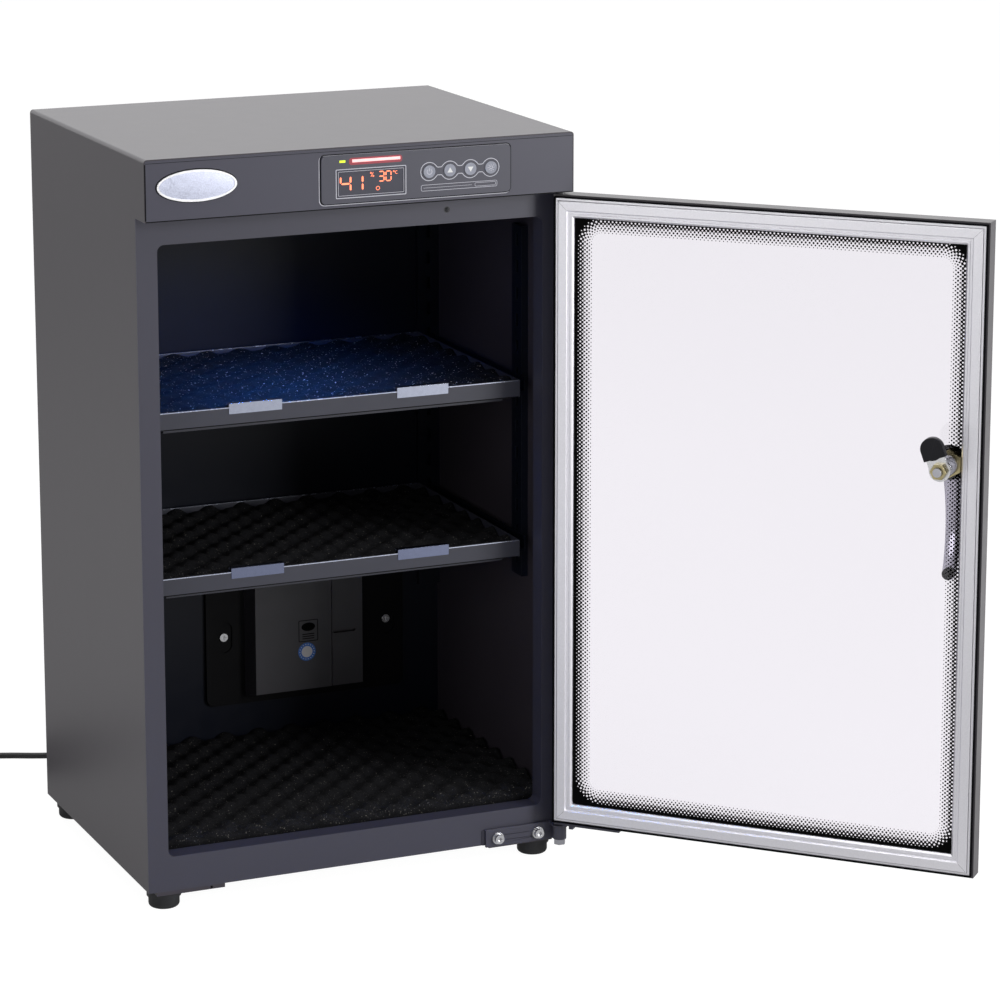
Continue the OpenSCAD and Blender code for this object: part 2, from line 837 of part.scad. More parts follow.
// A strip of channel, z0 to z1, its open side on the wall at Y = 0 and its slots from first upwards
module strip(z0, z1, first) {
    difference() {
        span([-strip_w / 2, -strip_d, z0], [strip_w / 2, 0, z1]);
        span([-strip_w / 2 + strip_t, -strip_d + strip_t, z0 - overrun],
            [strip_w / 2 - strip_t, overrun, z1 + overrun]);
        for (z = [first:slot_pitch:z1 - slot_h])
            span([-slot_w / 2, -strip_d - overrun, z - slot_h / 2], [slot_w / 2, 0, z + slot_h / 2]);
    }
}

// Front strips on the side walls and rear strips on the back wall
module pilasters() {
    color([0.2, 0.2, 0.22]) {
        for (s = [-1, 1])
            translate([s * in_x, front_y + strip_y, 0]) rotate([0, 0, -s * 90])
                strip(base_z + strip_z, base_z + strip_top, slot_z0);
        for (s = [-1, 1])
            translate([s * (in_x - strip_w / 2), liner_y, 0])
                strip(base_z + rear_strip_z, base_z + strip_top, slot_z0);
    }
}

// The pair of angles that carries a tray, hooked into the front strips, its back ends on the rear strips
module rails(z) {
    low = z - rail_gap - rail_t;
    color([0.24, 0.24, 0.27]) for (s = [-1, 1]) mirror([s < 0 ? 1 : 0, 0, 0]) {
        span([tray_half - rail_lap, front_y + rail_front, low],
            [strip_face_x, liner_y - strip_d, low + rail_t]);
        span([strip_face_x - rail_t, front_y + rail_front, low],
            [strip_face_x, liner_y - strip_d, low + rail_wall_h]);
        span([strip_face_x - overrun, front_y + strip_y - hook_w / 2, low + rail_wall_h - slot_h / 2],
            [strip_face_x + hook_d, front_y + strip_y + hook_w / 2, low + rail_wall_h]);
    }
}

// Trays

// A shallow sheet-metal tray with a stiffening bar under its front
module tray(z) {
    color([0.25, 0.26, 0.3]) {
        difference() {
            span([-tray_half, tray_y0, z], [tray_half, tray_y1, z + tray_h]);
            span([-tray_half + skin_t, tray_y0 + skin_t, z + skin_t],
                [tray_half - skin_t, tray_y1 - skin_t, z + tray_h + overrun]);
        }
        span([-bar_half, bar_y, z - bar_h], [bar_half, bar_y + bar_d, z]);
    }
}

// Two bright clips folded over the front wall of a tray
module clips(z) {
    top = z + tray_h + clip_rise;
    color([0.7, 0.71, 0.74]) for (s = [-1, 1]) translate([s * clip_x, 0, 0]) difference() {
        span([-clip_w / 2, tray_y0 - clip_t, top - clip_h], [clip_w / 2, tray_y0 + clip_lap, top]);
        span([-clip_w, tray_y0, top - clip_h - overrun],
            [clip_w, tray_y0 + clip_lap - clip_t, top - clip_t]);
    }
}

module tray_mat(z) {
    gap = skin_t + soft_gap;
    color([0.1, 0.1, 0.11]) egg_mat(-tray_half + gap, tray_half - gap, tray_y0 + gap + clip_lap,
        tray_y1 - gap, z + gap);
}

module floor_mat() {
    color([0.1, 0.1, 0.11]) egg_mat(-in_x + 2 * skin_t, in_x - 2 * skin_t,
        front_y + return_d + overrun, liner_y - soft_gap, floor_z + soft_gap);
}

// Dehumidifier

module unit_base() {
    color([0.13, 0.13, 0.15]) difference() {
        plate_xz(liner_y - unit_t, liner_y) translate([unit_x, base_z + unit_z + unit_h / 2])
            round_rect(unit_w, unit_h, unit_r);
        for (s = [-1, 1]) {
            plate_xz(liner_y - unit_t - overrun, liner_y - unit_t + lobe_d)
                translate([unit_x + s * lobe_x, base_z + unit_z + lobe_z])
                    round_rect(lobe_w, lobe_h, lobe_w * 0.49);
            bar_y(unit_x + s * lobe_x, base_z + unit_z + lobe_z, screw_r - screw_clear,
                liner_y - unit_t - overrun, liner_y + overrun);
        }
    }
}

// The raised cover, its side walls sloped, with a lower step at the right and a slot for the vane
module unit_cover() {
    x0 = unit_x - unit_w / 2 + cover_in;
    x1 = x0 + cover_w;
    xm = x0 + cover_w * cover_step_share;
    z0 = base_z + unit_z + cover_z;
    y0 = liner_y - unit_t;
    color([0.1, 0.1, 0.12]) difference() {
        intersection() {
            translate([0, 0, z0]) linear_extrude(cover_h) polygon([[x0, y0],
                [x0 + cover_slope, y0 - cover_d], [xm, y0 - cover_d],
                [xm + cover_slope / 2, y0 - cover_d + cover_low],
                [x1 - cover_slope, y0 - cover_d + cover_low], [x1, y0]]);
            translate([x0, 0, 0]) rotate([90, 0, 90]) linear_extrude(cover_w) polygon([[y0, z0],
                [y0 - cover_d, z0 + cover_slope], [y0 - cover_d, z0 + cover_h - cover_slope],
                [y0, z0 + cover_h]]);
        }
        plate_xz(y0 - cover_d - overrun, y0 - cover_d + 2 * cover_low)
            translate([xm + cover_slope / 2 + vane_w / 2 + overrun, z0 + vane_z])
                round_rect(vane_w, vane_h, vane_h * 0.45);
    }
}

module unit_screws() {
    color([0.75, 0.75, 0.76]) for (s = [-1, 1]) {
        x = unit_x + s * lobe_x;
        z = base_z + unit_z + lobe_z;
        difference() {
            bar_y(x, z, head_r, liner_y - unit_t + lobe_d - head_t, liner_y - unit_t + lobe_d);
            plate_xz(liner_y - unit_t - overrun, liner_y - unit_t + lobe_d - head_t / 2) translate([x, z]) {
                square([head_r, head_t / 3], center = true);
                square([head_t / 3, head_r], center = true);
            }
        }
        bar_y(x, z, screw_r - 2 * screw_clear, liner_y - unit_t + lobe_d - head_t / 2, liner_y);
    }
}

// Hinges

function screw_x() = [for (k = [0, 1])
    case_w / 2 - pivot_in - bracket_l + screw_in / 2 + k * bracket_pitch];

// The bracket on the sill: its leaf, the ear that carries the pivot and the boss under it
module hinge_bracket() {
    y1 = front_y - spacer_t;
    y0 = y1 - bracket_t;
    color([0.25, 0.26, 0.3]) difference() {
        union() {
            span([pivot_x - bracket_l, y0, bracket_top - bracket_h],
                [pivot_x, y1, bracket_top]);
            span([pivot_x - neck_w / 2, pivot_y, bracket_top - bracket_t],
                [pivot_x + neck_w / 2, y1, bracket_top]);
            bar_z(pivot_x, pivot_y, ear_r, bracket_top - bracket_t, bracket_top);
            bar_z(pivot_x, pivot_y, boss_r, bracket_top - bracket_t - boss_drop, bracket_top - bracket_t);
        }
        bar_z(pivot_x, pivot_y, pivot_r + run_gap, base_z - bolt_head_h, bracket_top + overrun);
        for (x = screw_x()) bar_y(x, screw_z, screw_r + screw_clear, y0 - overrun, y1 + overrun);
    }
}

module hinge_spacer() {
    color([0.2, 0.2, 0.24]) difference() {
        span([pivot_x - bracket_l - skin_t * 2, front_y - spacer_t, base_z],
            [pivot_x - neck_w / 2, front_y, bracket_top - overrun]);
        for (x = screw_x())
            bar_y(x, screw_z, screw_r + screw_clear, front_y - spacer_t - overrun, front_y + overrun);
    }
}

// Two socket-head screws with washers
module hinge_screws() {
    y = front_y - spacer_t - bracket_t;
    color([0.8, 0.8, 0.82]) for (x = screw_x()) {
        bar_y(x, screw_z, washer_r, y - washer_t, y);
        difference() {
            bar_y(x, screw_z, cap_r, y - washer_t - cap_h, y - washer_t);
            bar_y(x, screw_z, cap_hex_r, y - washer_t - cap_h - overrun,
                y - washer_t - cap_h + cap_hex_d, 6);
        }
        bar_y(x, screw_z, screw_r, y - washer_t, front_y + screw_deep);
    }
}

module lower_pivot_bolt() {
    z = bracket_top - bracket_t - boss_drop;
    color([0.7, 0.7, 0.72]) {
        bar_z(pivot_x, pivot_y, bolt_head_r, z - bolt_head_h, z, 6);
        bar_z(pivot_x, pivot_y, pivot_r, z, door_z0 + bush_l);
    }
}

module upper_pivot_pin() {
    z = head_z + skin_t + plate_t;
    color([0.7, 0.7, 0.72]) {
        bar_z(pivot_x, pivot_y, pivot_r, door_z1 - bush_l, z);
        bar_z(pivot_x, pivot_y, pivot_r + pin_lip, z, z + pin_cap_h);
    }
}

// The plate inside the head that holds the upper pivot
module upper_hinge_plate() {
    color([0.5, 0.5, 0.52]) difference() {
        span([pivot_x - plate_l, pivot_y - plate_d / 2, head_z + skin_t],
            [in_x - skin_t, pivot_y + plate_d / 2, head_z + skin_t + plate_t]);
        bar_z(pivot_x, pivot_y, pivot_r + run_gap, head_z, head_z + skin_t + plate_t + overrun);
    }
}

// Door, drawn shut

// A bar with mitred ends, its profile in (distance from the door's edge, distance before the front frame)
module mitred_bar(l) {
    difference() {
        rotate([90, 0, 90]) linear_extrude(l, center = true) children();
        for (s = [0, 1]) mirror([s, 0, 0]) translate([l / 2, 0, 0]) rotate([0, 0, 45])
            translate([0, -l / 4, -door_out]) cube([l / 4, l / 2, 3 * door_out]);
    }
}

// Four mitred bars around the door, set in from its edge
module mitred_ring(inset) {
    for (i = [0:3]) {
        upright = i % 2 == 1;
        half = (upright ? door_half_h : door_half) - inset;
        away = (upright ? door_half : door_half_h) - inset;
        translate([0, front_y, door_zc]) rotate([0, i * 90, 0]) translate([0, 0, -away])
            rotate([90, 0, 0]) mitred_bar(2 * half) children();
    }
}

// Where the sloped outer face of the bars lies at a distance v before the front frame
function slope_u(v) = door_bar_w - (v - glass_out) * (door_bar_w - flat_u) / (door_out - glass_out);

// A hollow section with a seat for the gasket, a rebate for the glass and a sloped outer face
module bar_profile() {
    low = glass_out + bar_wall;
    high = door_out - bar_wall;
    difference() {
        polygon([[0, seat_out], [seat_w, seat_out], [seat_w, glass_in], [glass_u, glass_in],
            [glass_u, glass_out], [door_bar_w, glass_out], [flat_u, door_out], [edge_cut, door_out],
            [0, door_out - edge_cut]]);
        polygon([[bar_wall, glass_in + bar_wall], [glass_u - bar_wall, glass_in + bar_wall],
            [glass_u - bar_wall, low], [slope_u(low) - 2 * bar_wall, low],
            [slope_u(high) - 3 * bar_wall / 2, high], [bar_wall, high]]);
    }
}

module door_frame() {
    color([0.55, 0.53, 0.56]) with_door() difference() {
        mitred_ring(0) bar_profile();
        for (z = [door_z0 - overrun, door_z1 - bush_l])
            bar_z(pivot_x, pivot_y, bush_r, z, z + bush_l + overrun);
    }
}

// The metal trim: a bevelled outer edge, a flat face, a groove and a bead along the glass
module trim_profile() {
    bevel = trim_w / 6;
    groove = trim_w * 0.68;
    g = trim_w / 30;
    polygon([[0, glass_in], [0, trim_face + bevel * 0.7], [bevel, trim_face], [groove, trim_face],
        [groove + g, trim_face + g], [groove + 2 * g, trim_face + g], [groove + 3 * g, trim_face],
        [trim_w - 2 * g, trim_face], [trim_w, trim_face + 2 * g], [trim_w, glass_in]]);
}

module door_trim() {
    color([0.8, 0.8, 0.82]) with_door() mitred_ring(trim_in) trim_profile();
}

module door_glass() {
    w = 2 * (door_half - glass_u - 2 * run_gap);
    h = 2 * (door_half_h - glass_u - 2 * run_gap);
    color([0.85, 0.9, 0.9, 0.3]) with_door() difference() {
        plate_xz(front_y - glass_out, front_y - glass_in) translate([0, door_zc])
            square([w, h], center = true);
        bar_y(lock_x, lock_z, barrel_r + screw_clear, front_y - glass_out - overrun,
            front_y - glass_in + overrun);
    }
}

// The black seal between the trim and the door's edge: a flat base and a lip that meets the front frame
module door_gasket() {
    color([0.05, 0.05, 0.06]) with_door() {
        seal_ring(seal_edge, seat_w, seat_out - seal_base, seat_out);
        seal_ring(seal_lip_u, seal_lip_u + seal_lip_w, seal_gap, seat_out - seal_base);
    }
}

module seal_ring(u0, u1, v0, v1) {
    plate_xz(front_y - v1, front_y - v0) translate([0, door_zc]) difference() {
        round_rect(2 * (door_half - u0), 2 * (door_half_h - u0), seal_r);
        square([2 * (door_half - u1), 2 * (door_half_h - u1)], center = true);
    }
}

module hinge_bushes() {
    color([0.9, 0.9, 0.86]) with_door() difference() {
        for (z = [[door_z0 - plate_t, door_z0 + bush_l - overrun], [door_z1 - bush_l, door_z1]])
            bar_z(pivot_x, pivot_y, bush_r, z[0], z[1]);
        bar_z(pivot_x, pivot_y, pivot_r + run_gap, base_z, head_z);
    }
}

// The plate under the door that turns on the lower pivot, with the tab that stops it
module door_hinge_plate() {
    color([0.2, 0.2, 0.23]) with_door() difference() {
        union() {
            span([pivot_x - plate_l, front_y - plate_u - plate_d, door_z0 - plate_t],
                [door_half - overrun, front_y - plate_u, door_z0]);
            span([pivot_x - tab_in - tab_w, pivot_y - tab_d / 2, door_z0 - plate_t - tab_h],
                [pivot_x - tab_in, pivot_y + tab_d / 2, door_z0]);
        }
        bar_z(pivot_x, pivot_y, bush_r + run_gap, door_z0 - plate_t - overrun, door_z0 + overrun);
    }
}

// Lock, drawn on the shut door: y = front_y - v

module lock_barrel() {
    color([0.62, 0.58, 0.5]) with_door() difference() {
        union() {
            bar_y(lock_x, lock_z, barrel_r, front_y - glass_out, front_y + barrel_in);
            bar_y(lock_x, lock_z, flange_r, front_y - glass_out - flange_t, front_y - glass_out);
        }
        bar_y(lock_x, lock_z, spindle_r + run_gap, front_y - door_out, front_y + barrel_in + overrun);
    }
}

// The large hexagonal nut that clamps the barrel on the glass
module lock_nut() {
    color([0.72, 0.66, 0.4]) with_door() difference() {
        translate([lock_x, front_y - glass_in, lock_z]) rotate([-90, 30, 0])
            cylinder(r = nut_flat / cos(30), h = nut_t, $fn = 6);
        bar_y(lock_x, lock_z, barrel_r + run_gap, front_y - door_out, front_y + barrel_in);
    }
}

hub_in = glass_out + flange_t + hub_gap;
hub_out = hub_in + hub_t;
// The lever's arc, from the hub to its end, in the plane across the door
lever_in = (hub_in + hub_t / 2 + lever_end_out) / 2;
lever_r = handle_l * handle_l / (8 * handle_bow) + handle_bow / 2;
lever_v = lever_in + handle_bow - lever_r;

// The hub, the bowed lever that hangs from it and the spindle through the barrel
module lock_handle() {
    color([0.75, 0.75, 0.77]) with_door() difference() {
        union() {
            bar_y(lock_x, lock_z, hub_r, front_y - hub_out, front_y - hub_in);
            bar_y(lock_x, lock_z, spindle_r, front_y - hub_in, front_y + spindle_tip);
            intersection() {
                translate([lock_x - lever_top_w, front_y - lever_v, lock_z - handle_l / 2])
                    rotate([0, 90, 0]) difference() {
                        cylinder(r = lever_r + lever_t / 2, h = 2 * lever_top_w, $fn = 240);
                        translate([0, 0, -overrun])
                            cylinder(r = lever_r - lever_t / 2, h = 2 * lever_top_w + 2 * overrun, $fn = 240);
                    }
                plate_xz(front_y - 2 * lever_r, front_y - glass_out - flange_t) {
                    translate([lock_x, lock_z - handle_l]) circle(lever_end_w / 2);
                    polygon([[lock_x - lever_top_w / 2, lock_z - hub_r / 2],
                        [lock_x + lever_top_w / 2, lock_z - hub_r / 2],
                        [lock_x + lever_end_w / 2, lock_z - handle_l],
                        [lock_x - lever_end_w / 2, lock_z - handle_l]]);
                }
            }
        }
        bar_y(lock_x, lock_z, key_r + run_gap, front_y - hub_out - overrun, front_y - hub_out + key_l);
    }
}

// The rubber pad behind the lever's end
module handle_bumper() {
    color([0.05, 0.05, 0.06]) with_door() difference() {
        bar_y(lock_x, lock_z - handle_l, bumper_r, front_y - lever_end_out - lever_t,
            front_y - glass_out - soft_gap);
        translate([lock_x - lever_top_w, front_y - lever_v, lock_z - handle_l / 2])
            rotate([0, 90, 0]) difference() {
                cylinder(r = 2 * lever_r, h = 2 * lever_top_w, $fn = 240);
                translate([0, 0, -overrun])
                    cylinder(r = lever_r - lever_t / 2, h = 2 * lever_top_w + 2 * overrun, $fn = 240);
            }
    }
}

cam_y = front_y + return_d + cam_gap;
cam_plate_y = cam_y + (sleeve_t - cam_t) / 2;
spindle_tip = cam_plate_y + cam_t + cam_nut_t + spindle_end - front_y;

// Puts the cam's outline, drawn upright, at its lean on the spindle
module on_cam(y0, y1) {
    plate_xz(y0, y1) translate([lock_x, lock_z]) rotate(-cam_lean) children();
}

module cam_plate() {
    color([0.8, 0.8, 0.8]) with_door() difference() {
        on_cam(cam_plate_y, cam_plate_y + cam_t) {
            circle(cam_w / 2);
            translate([-cam_w / 2 + sleeve_wall, 0]) square([cam_w - 2 * sleeve_wall, cam_l - cam_w / 2]);
            translate([0, cam_l - cam_w / 2]) circle(cam_w / 2 - sleeve_wall);
        }
        bar_y(lock_x, lock_z, spindle_r + run_gap, cam_plate_y - overrun, cam_plate_y + cam_t + overrun);
    }
}

// The black plastic cap over the cam's tip
module cam_sleeve() {
    color([0.06, 0.06, 0.07]) with_door() difference() {
        on_cam(cam_y, cam_y + sleeve_t) {
            translate([-sleeve_w / 2, cam_l + sleeve_wall - sleeve_l])
                square([sleeve_w, sleeve_l - sleeve_w / 2]);
            translate([0, cam_l + sleeve_wall - sleeve_w / 2]) circle(sleeve_w / 2);
        }
        on_cam(cam_plate_y - run_gap, cam_plate_y + cam_t + run_gap) {
            translate([-cam_w / 2 + sleeve_wall - run_gap, 0])
                square([cam_w - 2 * sleeve_wall + 2 * run_gap, cam_l - cam_w / 2]);
            translate([0, cam_l - cam_w / 2]) circle(cam_w / 2 - sleeve_wall + run_gap);
        }
    }
}

module cam_nut() {
    y = cam_plate_y + cam_t;
    color([0.78, 0.72, 0.45]) with_door() difference() {
        bar_y(lock_x, lock_z, cam_nut_r, y, y + cam_nut_t, 6);
        bar_y(lock_x, lock_z, spindle_r + run_gap, y - overrun, y + cam_nut_t + overrun);
    }
}

module key_cylinder() {
    color([0.8, 0.78, 0.7]) with_door() difference() {
        bar_y(lock_x, lock_z, key_r, front_y - hub_out - key_proud, front_y - hub_out + key_l - soft_gap);
        translate([lock_x - slot_key_w / 2, front_y - hub_out - key_proud - overrun,
            lock_z - slot_key_l / 2]) cube([slot_key_w, slot_key_d + overrun, slot_key_l]);
    }
}

// Cord

// A strain relief that tapers to the cord, with ribs around it
module cable_gland() {
    color([0.06, 0.06, 0.07]) translate([gland_x, back_y, gland_z]) rotate([-90, 0, 0])
        rotate_extrude($fn = 48) polygon(concat(
            [[0, -skin_t], [gland_r0 - run_gap, -skin_t], [gland_r0 - run_gap, 0], [gland_flange_r, 0],
                [gland_flange_r, gland_flange_t], [gland_r0, gland_flange_t]],
            [for (k = [0:gland_ribs - 1]) each [
                for (e = [[0.3, 0], [0.3, -gland_step], [0.7, -gland_step], [0.7, 0]])
                    let (s = (k + 1 + e[0]) / (gland_ribs + 2))
                        [gland_r0 + (gland_r1 - gland_r0) * s + e[1],
                            gland_flange_t + (gland_l - gland_flange_t) * s]]],
            [[gland_r1, gland_l], [0, gland_l]]));
}

module power_cord() {
    color([0.05, 0.05, 0.06]) tube(route, cord_d / 2, tube_sides);
}

// The coil's centre line: in along the floor, round by round to the middle, up, and out again on top
turn_pitch = cord_d + turn_gap;
layer_rise = cord_d + layer_gap;
coil_in_r = coil_out_r - layer_turns * turn_pitch;
coil_n = 2 * layer_turns * coil_steps;
function coil_place(k) =
    let (t = k / coil_steps, a = 90 + 360 * t, d = abs(t - layer_turns),
        r = coil_in_r + turn_pitch * d, c = max(-1, min(1, 4 * (t - layer_turns))))
        [coil_x + r * cos(a), coil_y + r * sin(a), cord_z + layer_rise * (1 + c) / 2];
coil_line = concat([[coil_x + cord_d, coil_y + coil_out_r, cord_z]],
    [for (k = [0:coil_n]) coil_place(k)],
    [for (s = [half_share, 1]) [coil_x - coil_tail * s, coil_y + coil_out_r, cord_z + layer_rise]]);
coil_gap = min([for (i = [0:coil_n], j = [i + coil_steps / 2:coil_n])
    norm(coil_place(i) - coil_place(j))]) - cord_d;
echo(least_gap_of_the_coil_to_itself = coil_gap);

module cord_coil() {
    color([0.05, 0.05, 0.06]) tube(coil_line, cord_d / 2, coil_sides);
}

// A two-pin plug that lies on the floor beside the coil
module plug() {
    z = cord_z + layer_rise;
    x = coil_x - coil_tail - run_gap;
    color([0.05, 0.05, 0.06]) translate([x, coil_y + coil_out_r, z]) {
        rotate([0, -90, 0]) cylinder(r1 = cord_d * 0.7, r2 = z * 0.8, h = plug_neck);
        translate([-plug_neck, 0, 0]) rotate([0, -90, 0]) linear_extrude(plug_l - plug_neck)
            round_rect(2 * z - 2 * run_gap, plug_w, z * 0.4);
        for (s = [-1, 1]) translate([-plug_l, s * plug_pin_pitch / 2, 0]) rotate([0, -90, 0])
            cylinder(r = plug_pin_r, h = plug_pin_l, $fn = 24);
    }
}

case_wrap();
front_frame();
head_fascia();
rear_cover();
base_pan();
floor_liner();
ceiling_liner();
back_liner();
feet();
foot_screws();
badge();
control_panel();
display_window();
status_lens();
light_bar();
control_board();
door_sensor();
lamp_housing();
lamp_lens();
pilasters();
rails(upper_z);  // upper_rails
rails(lower_z);  // lower_rails
floor_mat();
unit_base();
unit_cover();
unit_screws();
hinge_bracket();
hinge_spacer();
hinge_screws();
lower_pivot_bolt();
upper_pivot_pin();
upper_hinge_plate();
cable_gland();
power_cord();
cord_coil();
plug();
button(0);  // button_power
button(1);  // button_up
button(2);  // button_down
button(3);  // button_lamp
tray(upper_z);  // upper_tray
clips(upper_z);  // upper_clips
tray_mat(upper_z);  // upper_mat
tray(lower_z);  // lower_tray
clips(lower_z);  // lower_clips
tray_mat(lower_z);  // lower_mat
door_frame();
door_trim();
door_glass();
door_gasket();
hinge_bushes();
door_hinge_plate();
lock_barrel();
lock_nut();
lock_handle();
handle_bumper();
cam_plate();
cam_sleeve();
cam_nut();
key_cylinder();
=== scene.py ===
"""Camera dry cabinet: the looks. Metres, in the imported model's frame: X right, Y back, Z up."""
import bpy
import bmesh
import math
from mathutils import Matrix, Vector


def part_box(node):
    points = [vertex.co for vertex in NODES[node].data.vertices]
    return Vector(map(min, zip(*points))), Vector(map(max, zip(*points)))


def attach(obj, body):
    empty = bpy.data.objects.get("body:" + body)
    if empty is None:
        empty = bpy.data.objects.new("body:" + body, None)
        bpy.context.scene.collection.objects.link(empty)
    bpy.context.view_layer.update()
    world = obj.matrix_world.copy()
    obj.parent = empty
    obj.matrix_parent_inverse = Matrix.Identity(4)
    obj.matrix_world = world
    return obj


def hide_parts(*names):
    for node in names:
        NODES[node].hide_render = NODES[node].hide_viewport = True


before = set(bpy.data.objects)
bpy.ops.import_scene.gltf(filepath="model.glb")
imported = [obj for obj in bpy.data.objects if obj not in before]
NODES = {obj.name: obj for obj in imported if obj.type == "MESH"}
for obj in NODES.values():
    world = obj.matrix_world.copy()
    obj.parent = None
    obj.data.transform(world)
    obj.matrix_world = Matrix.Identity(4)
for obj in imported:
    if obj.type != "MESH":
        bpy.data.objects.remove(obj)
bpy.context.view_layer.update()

MM = 0.001
SCENE = bpy.context.scene

# Planes of the case, in millimetres, as the CAD has them
FRONT = -151.0
FACE = -176.0
HEAD_Z = 625.0
TOP_Z = 679.0
LINER_Y = 135.0
# How far the control panel and the badge stand out of the head
PROUD = 1.6

# Camera

# As fitted to the photograph: pixels, degrees and millimetres
CAM_F = 3771.59
CAM_YAW, CAM_PITCH, CAM_ROLL = 23.101, 11.8838, -0.1628
CAM_AT = (-1195.98, -3168.36, 1176.41)
CAM_CENTRE = (450.0, 350.0)
PHOTO_SIDE = 1000
SENSOR = 36


def make_camera():
    """The camera that took the photograph."""
    yaw, pitch, roll = (math.radians(a) for a in (CAM_YAW, CAM_PITCH, CAM_ROLL))
    forward = Vector((math.sin(yaw) * math.cos(pitch), math.cos(yaw) * math.cos(pitch), -math.sin(pitch)))
    level = Vector((math.cos(yaw), -math.sin(yaw), 0))
    lift = level.cross(forward)
    right = level * math.cos(roll) + lift * math.sin(roll)
    up = lift * math.cos(roll) - level * math.sin(roll)
    data = bpy.data.cameras.new("photo_camera")
    data.sensor_width = SENSOR
    data.lens = CAM_F / PHOTO_SIDE * SENSOR
    data.shift_x = (PHOTO_SIDE / 2 - CAM_CENTRE[0]) / PHOTO_SIDE
    data.shift_y = (CAM_CENTRE[1] - PHOTO_SIDE / 2) / PHOTO_SIDE
    data.clip_start, data.clip_end = 0.05, 60
    cam = bpy.data.objects.new("photo_camera", data)
    turned = Matrix((right, up, -forward)).transposed().to_4x4()
    cam.matrix_world = Matrix.Translation(Vector(CAM_AT) * MM) @ turned
    SCENE.collection.objects.link(cam)
    SCENE.camera = cam


make_camera()

# Materials

# Noise scales, in waves to the metre: slow colour drift and uneven gloss of paint, pores of foam
DRIFT, GLOSS, PORES = 7, 60, 650


def nodes_of(name):
    """A new material with its node tree and its shader."""
    m = bpy.data.materials.new(name)
    m.use_nodes = True
    t = m.node_tree
    return m, t, t.nodes["Principled BSDF"]


def noise(tree, scale, detail=2.0, stretch=(1, 1, 1), rough=0.5):
    """A noise texture on the piece's own coordinates, in metres."""
    coords = tree.nodes.new("ShaderNodeTexCoord")
    mapping = tree.nodes.new("ShaderNodeMapping")
    mapping.inputs["Scale"].default_value = stretch
    tex = tree.nodes.new("ShaderNodeTexNoise")
    tex.inputs["Scale"].default_value = scale
    tex.inputs["Detail"].default_value = detail
    tex.inputs["Roughness"].default_value = rough
    tree.links.new(coords.outputs["Object"], mapping.inputs["Vector"])
    tree.links.new(mapping.outputs["Vector"], tex.inputs["Vector"])
    return tex.outputs["Fac"]


def spread(tree, value, low, high, at=(0.3, 0.7)):
    """Maps a noise to numbers from low to high."""
    r = tree.nodes.new("ShaderNodeMapRange")
    r.inputs["From Min"].default_value = at[0]
    r.inputs["From Max"].default_value = at[1]
    r.inputs["To Min"].default_value = low
    r.inputs["To Max"].default_value = high
    tree.links.new(value, r.inputs["Value"])
    return r.outputs["Result"]


def two_colours(tree, value, a, b, at=(0.35, 0.65)):
    """Turns a noise into a blend from one colour to another."""
    ramp = tree.nodes.new("ShaderNodeValToRGB")
    ramp.color_ramp.elements[0].position = at[0]
    ramp.color_ramp.elements[0].color = (*a, 1)
    ramp.color_ramp.elements[1].position = at[1]
    ramp.color_ramp.elements[1].color = (*b, 1)
    tree.links.new(value, ramp.inputs["Fac"])
    return ramp.outputs["Color"]


def bumped(tree, shader, value, depth, strength):
    """Roughens the surface with a noise, depth in metres."""
    b = tree.nodes.new("ShaderNodeBump")
    b.inputs["Strength"].default_value = strength
    b.inputs["Distance"].default_value = depth
    tree.links.new(value, b.inputs["Height"])
    tree.links.new(b.outputs["Normal"], shader.inputs["Normal"])


def shade(c, k):
    """A lighter or darker colour."""
    return tuple(min(1.0, v * k) for v in c)


def paint(name, colour, rough=(0.36, 0.46), vary=0.06, peel=0.00006, peel_scale=900, spec=0.5):
    """Stoved paint or moulded plastic: slight colour drift, an orange-peel surface and uneven gloss."""
    m, t, s = nodes_of(name)
    base = two_colours(t, noise(t, DRIFT, 4), shade(colour, 1 - vary), shade(colour, 1 + vary))
    t.links.new(base, s.inputs["Base Color"])
    t.links.new(spread(t, noise(t, GLOSS, 4), *rough), s.inputs["Roughness"])
    s.inputs["Specular IOR Level"].default_value = spec
    bumped(t, s, noise(t, peel_scale, 2), peel, 0.5)
    return m


def metal(name, colour, rough=(0.2, 0.32), stretch=(1, 1, 1), scale=300, grain=0.00002, vary=0.05):
    """Bare or plated metal with fine streaks in its gloss and colour."""
    m, t, s = nodes_of(name)
    streak = noise(t, scale, 4, stretch)
    base = two_colours(t, streak, shade(colour, 1 - vary), shade(colour, 1 + vary))
    t.links.new(base, s.inputs["Base Color"])
    t.links.new(spread(t, noise(t, scale * 0.6, 3, stretch), *rough), s.inputs["Roughness"])
    s.inputs["Metallic"].default_value = 1.0
    bumped(t, s, streak, grain, 0.4)
    return m


def rubber(name, colour, rough=(0.55, 0.75), grain_scale=1500, grain=0.00008):
    """Dull rubber or soft vinyl with a fine grain."""
    m, t, s = nodes_of(name)
    base = two_colours(t, noise(t, 40, 5), shade(colour, 0.8), shade(colour, 1.25))
    t.links.new(base, s.inputs["Base Color"])
    t.links.new(spread(t, noise(t, 120, 3), *rough), s.inputs["Roughness"])
    bumped(t, s, noise(t, grain_scale, 3), grain, 0.5)
    return m


def lit(name, colour, strength, core=None):
    """A lit lens, or a painted glow round one: its middle glows and its surface is glossy."""
    m, t, s = nodes_of(name)
    t.links.new(two_colours(t, noise(t, 90, 2), shade(colour, 0.9), colour), s.inputs["Base Color"])
    s.inputs["Roughness"].default_value = 0.25
    s.inputs["Emission Color"].default_value = (*(core or colour), 1)
    s.inputs["Emission Strength"].default_value = strength
    return m


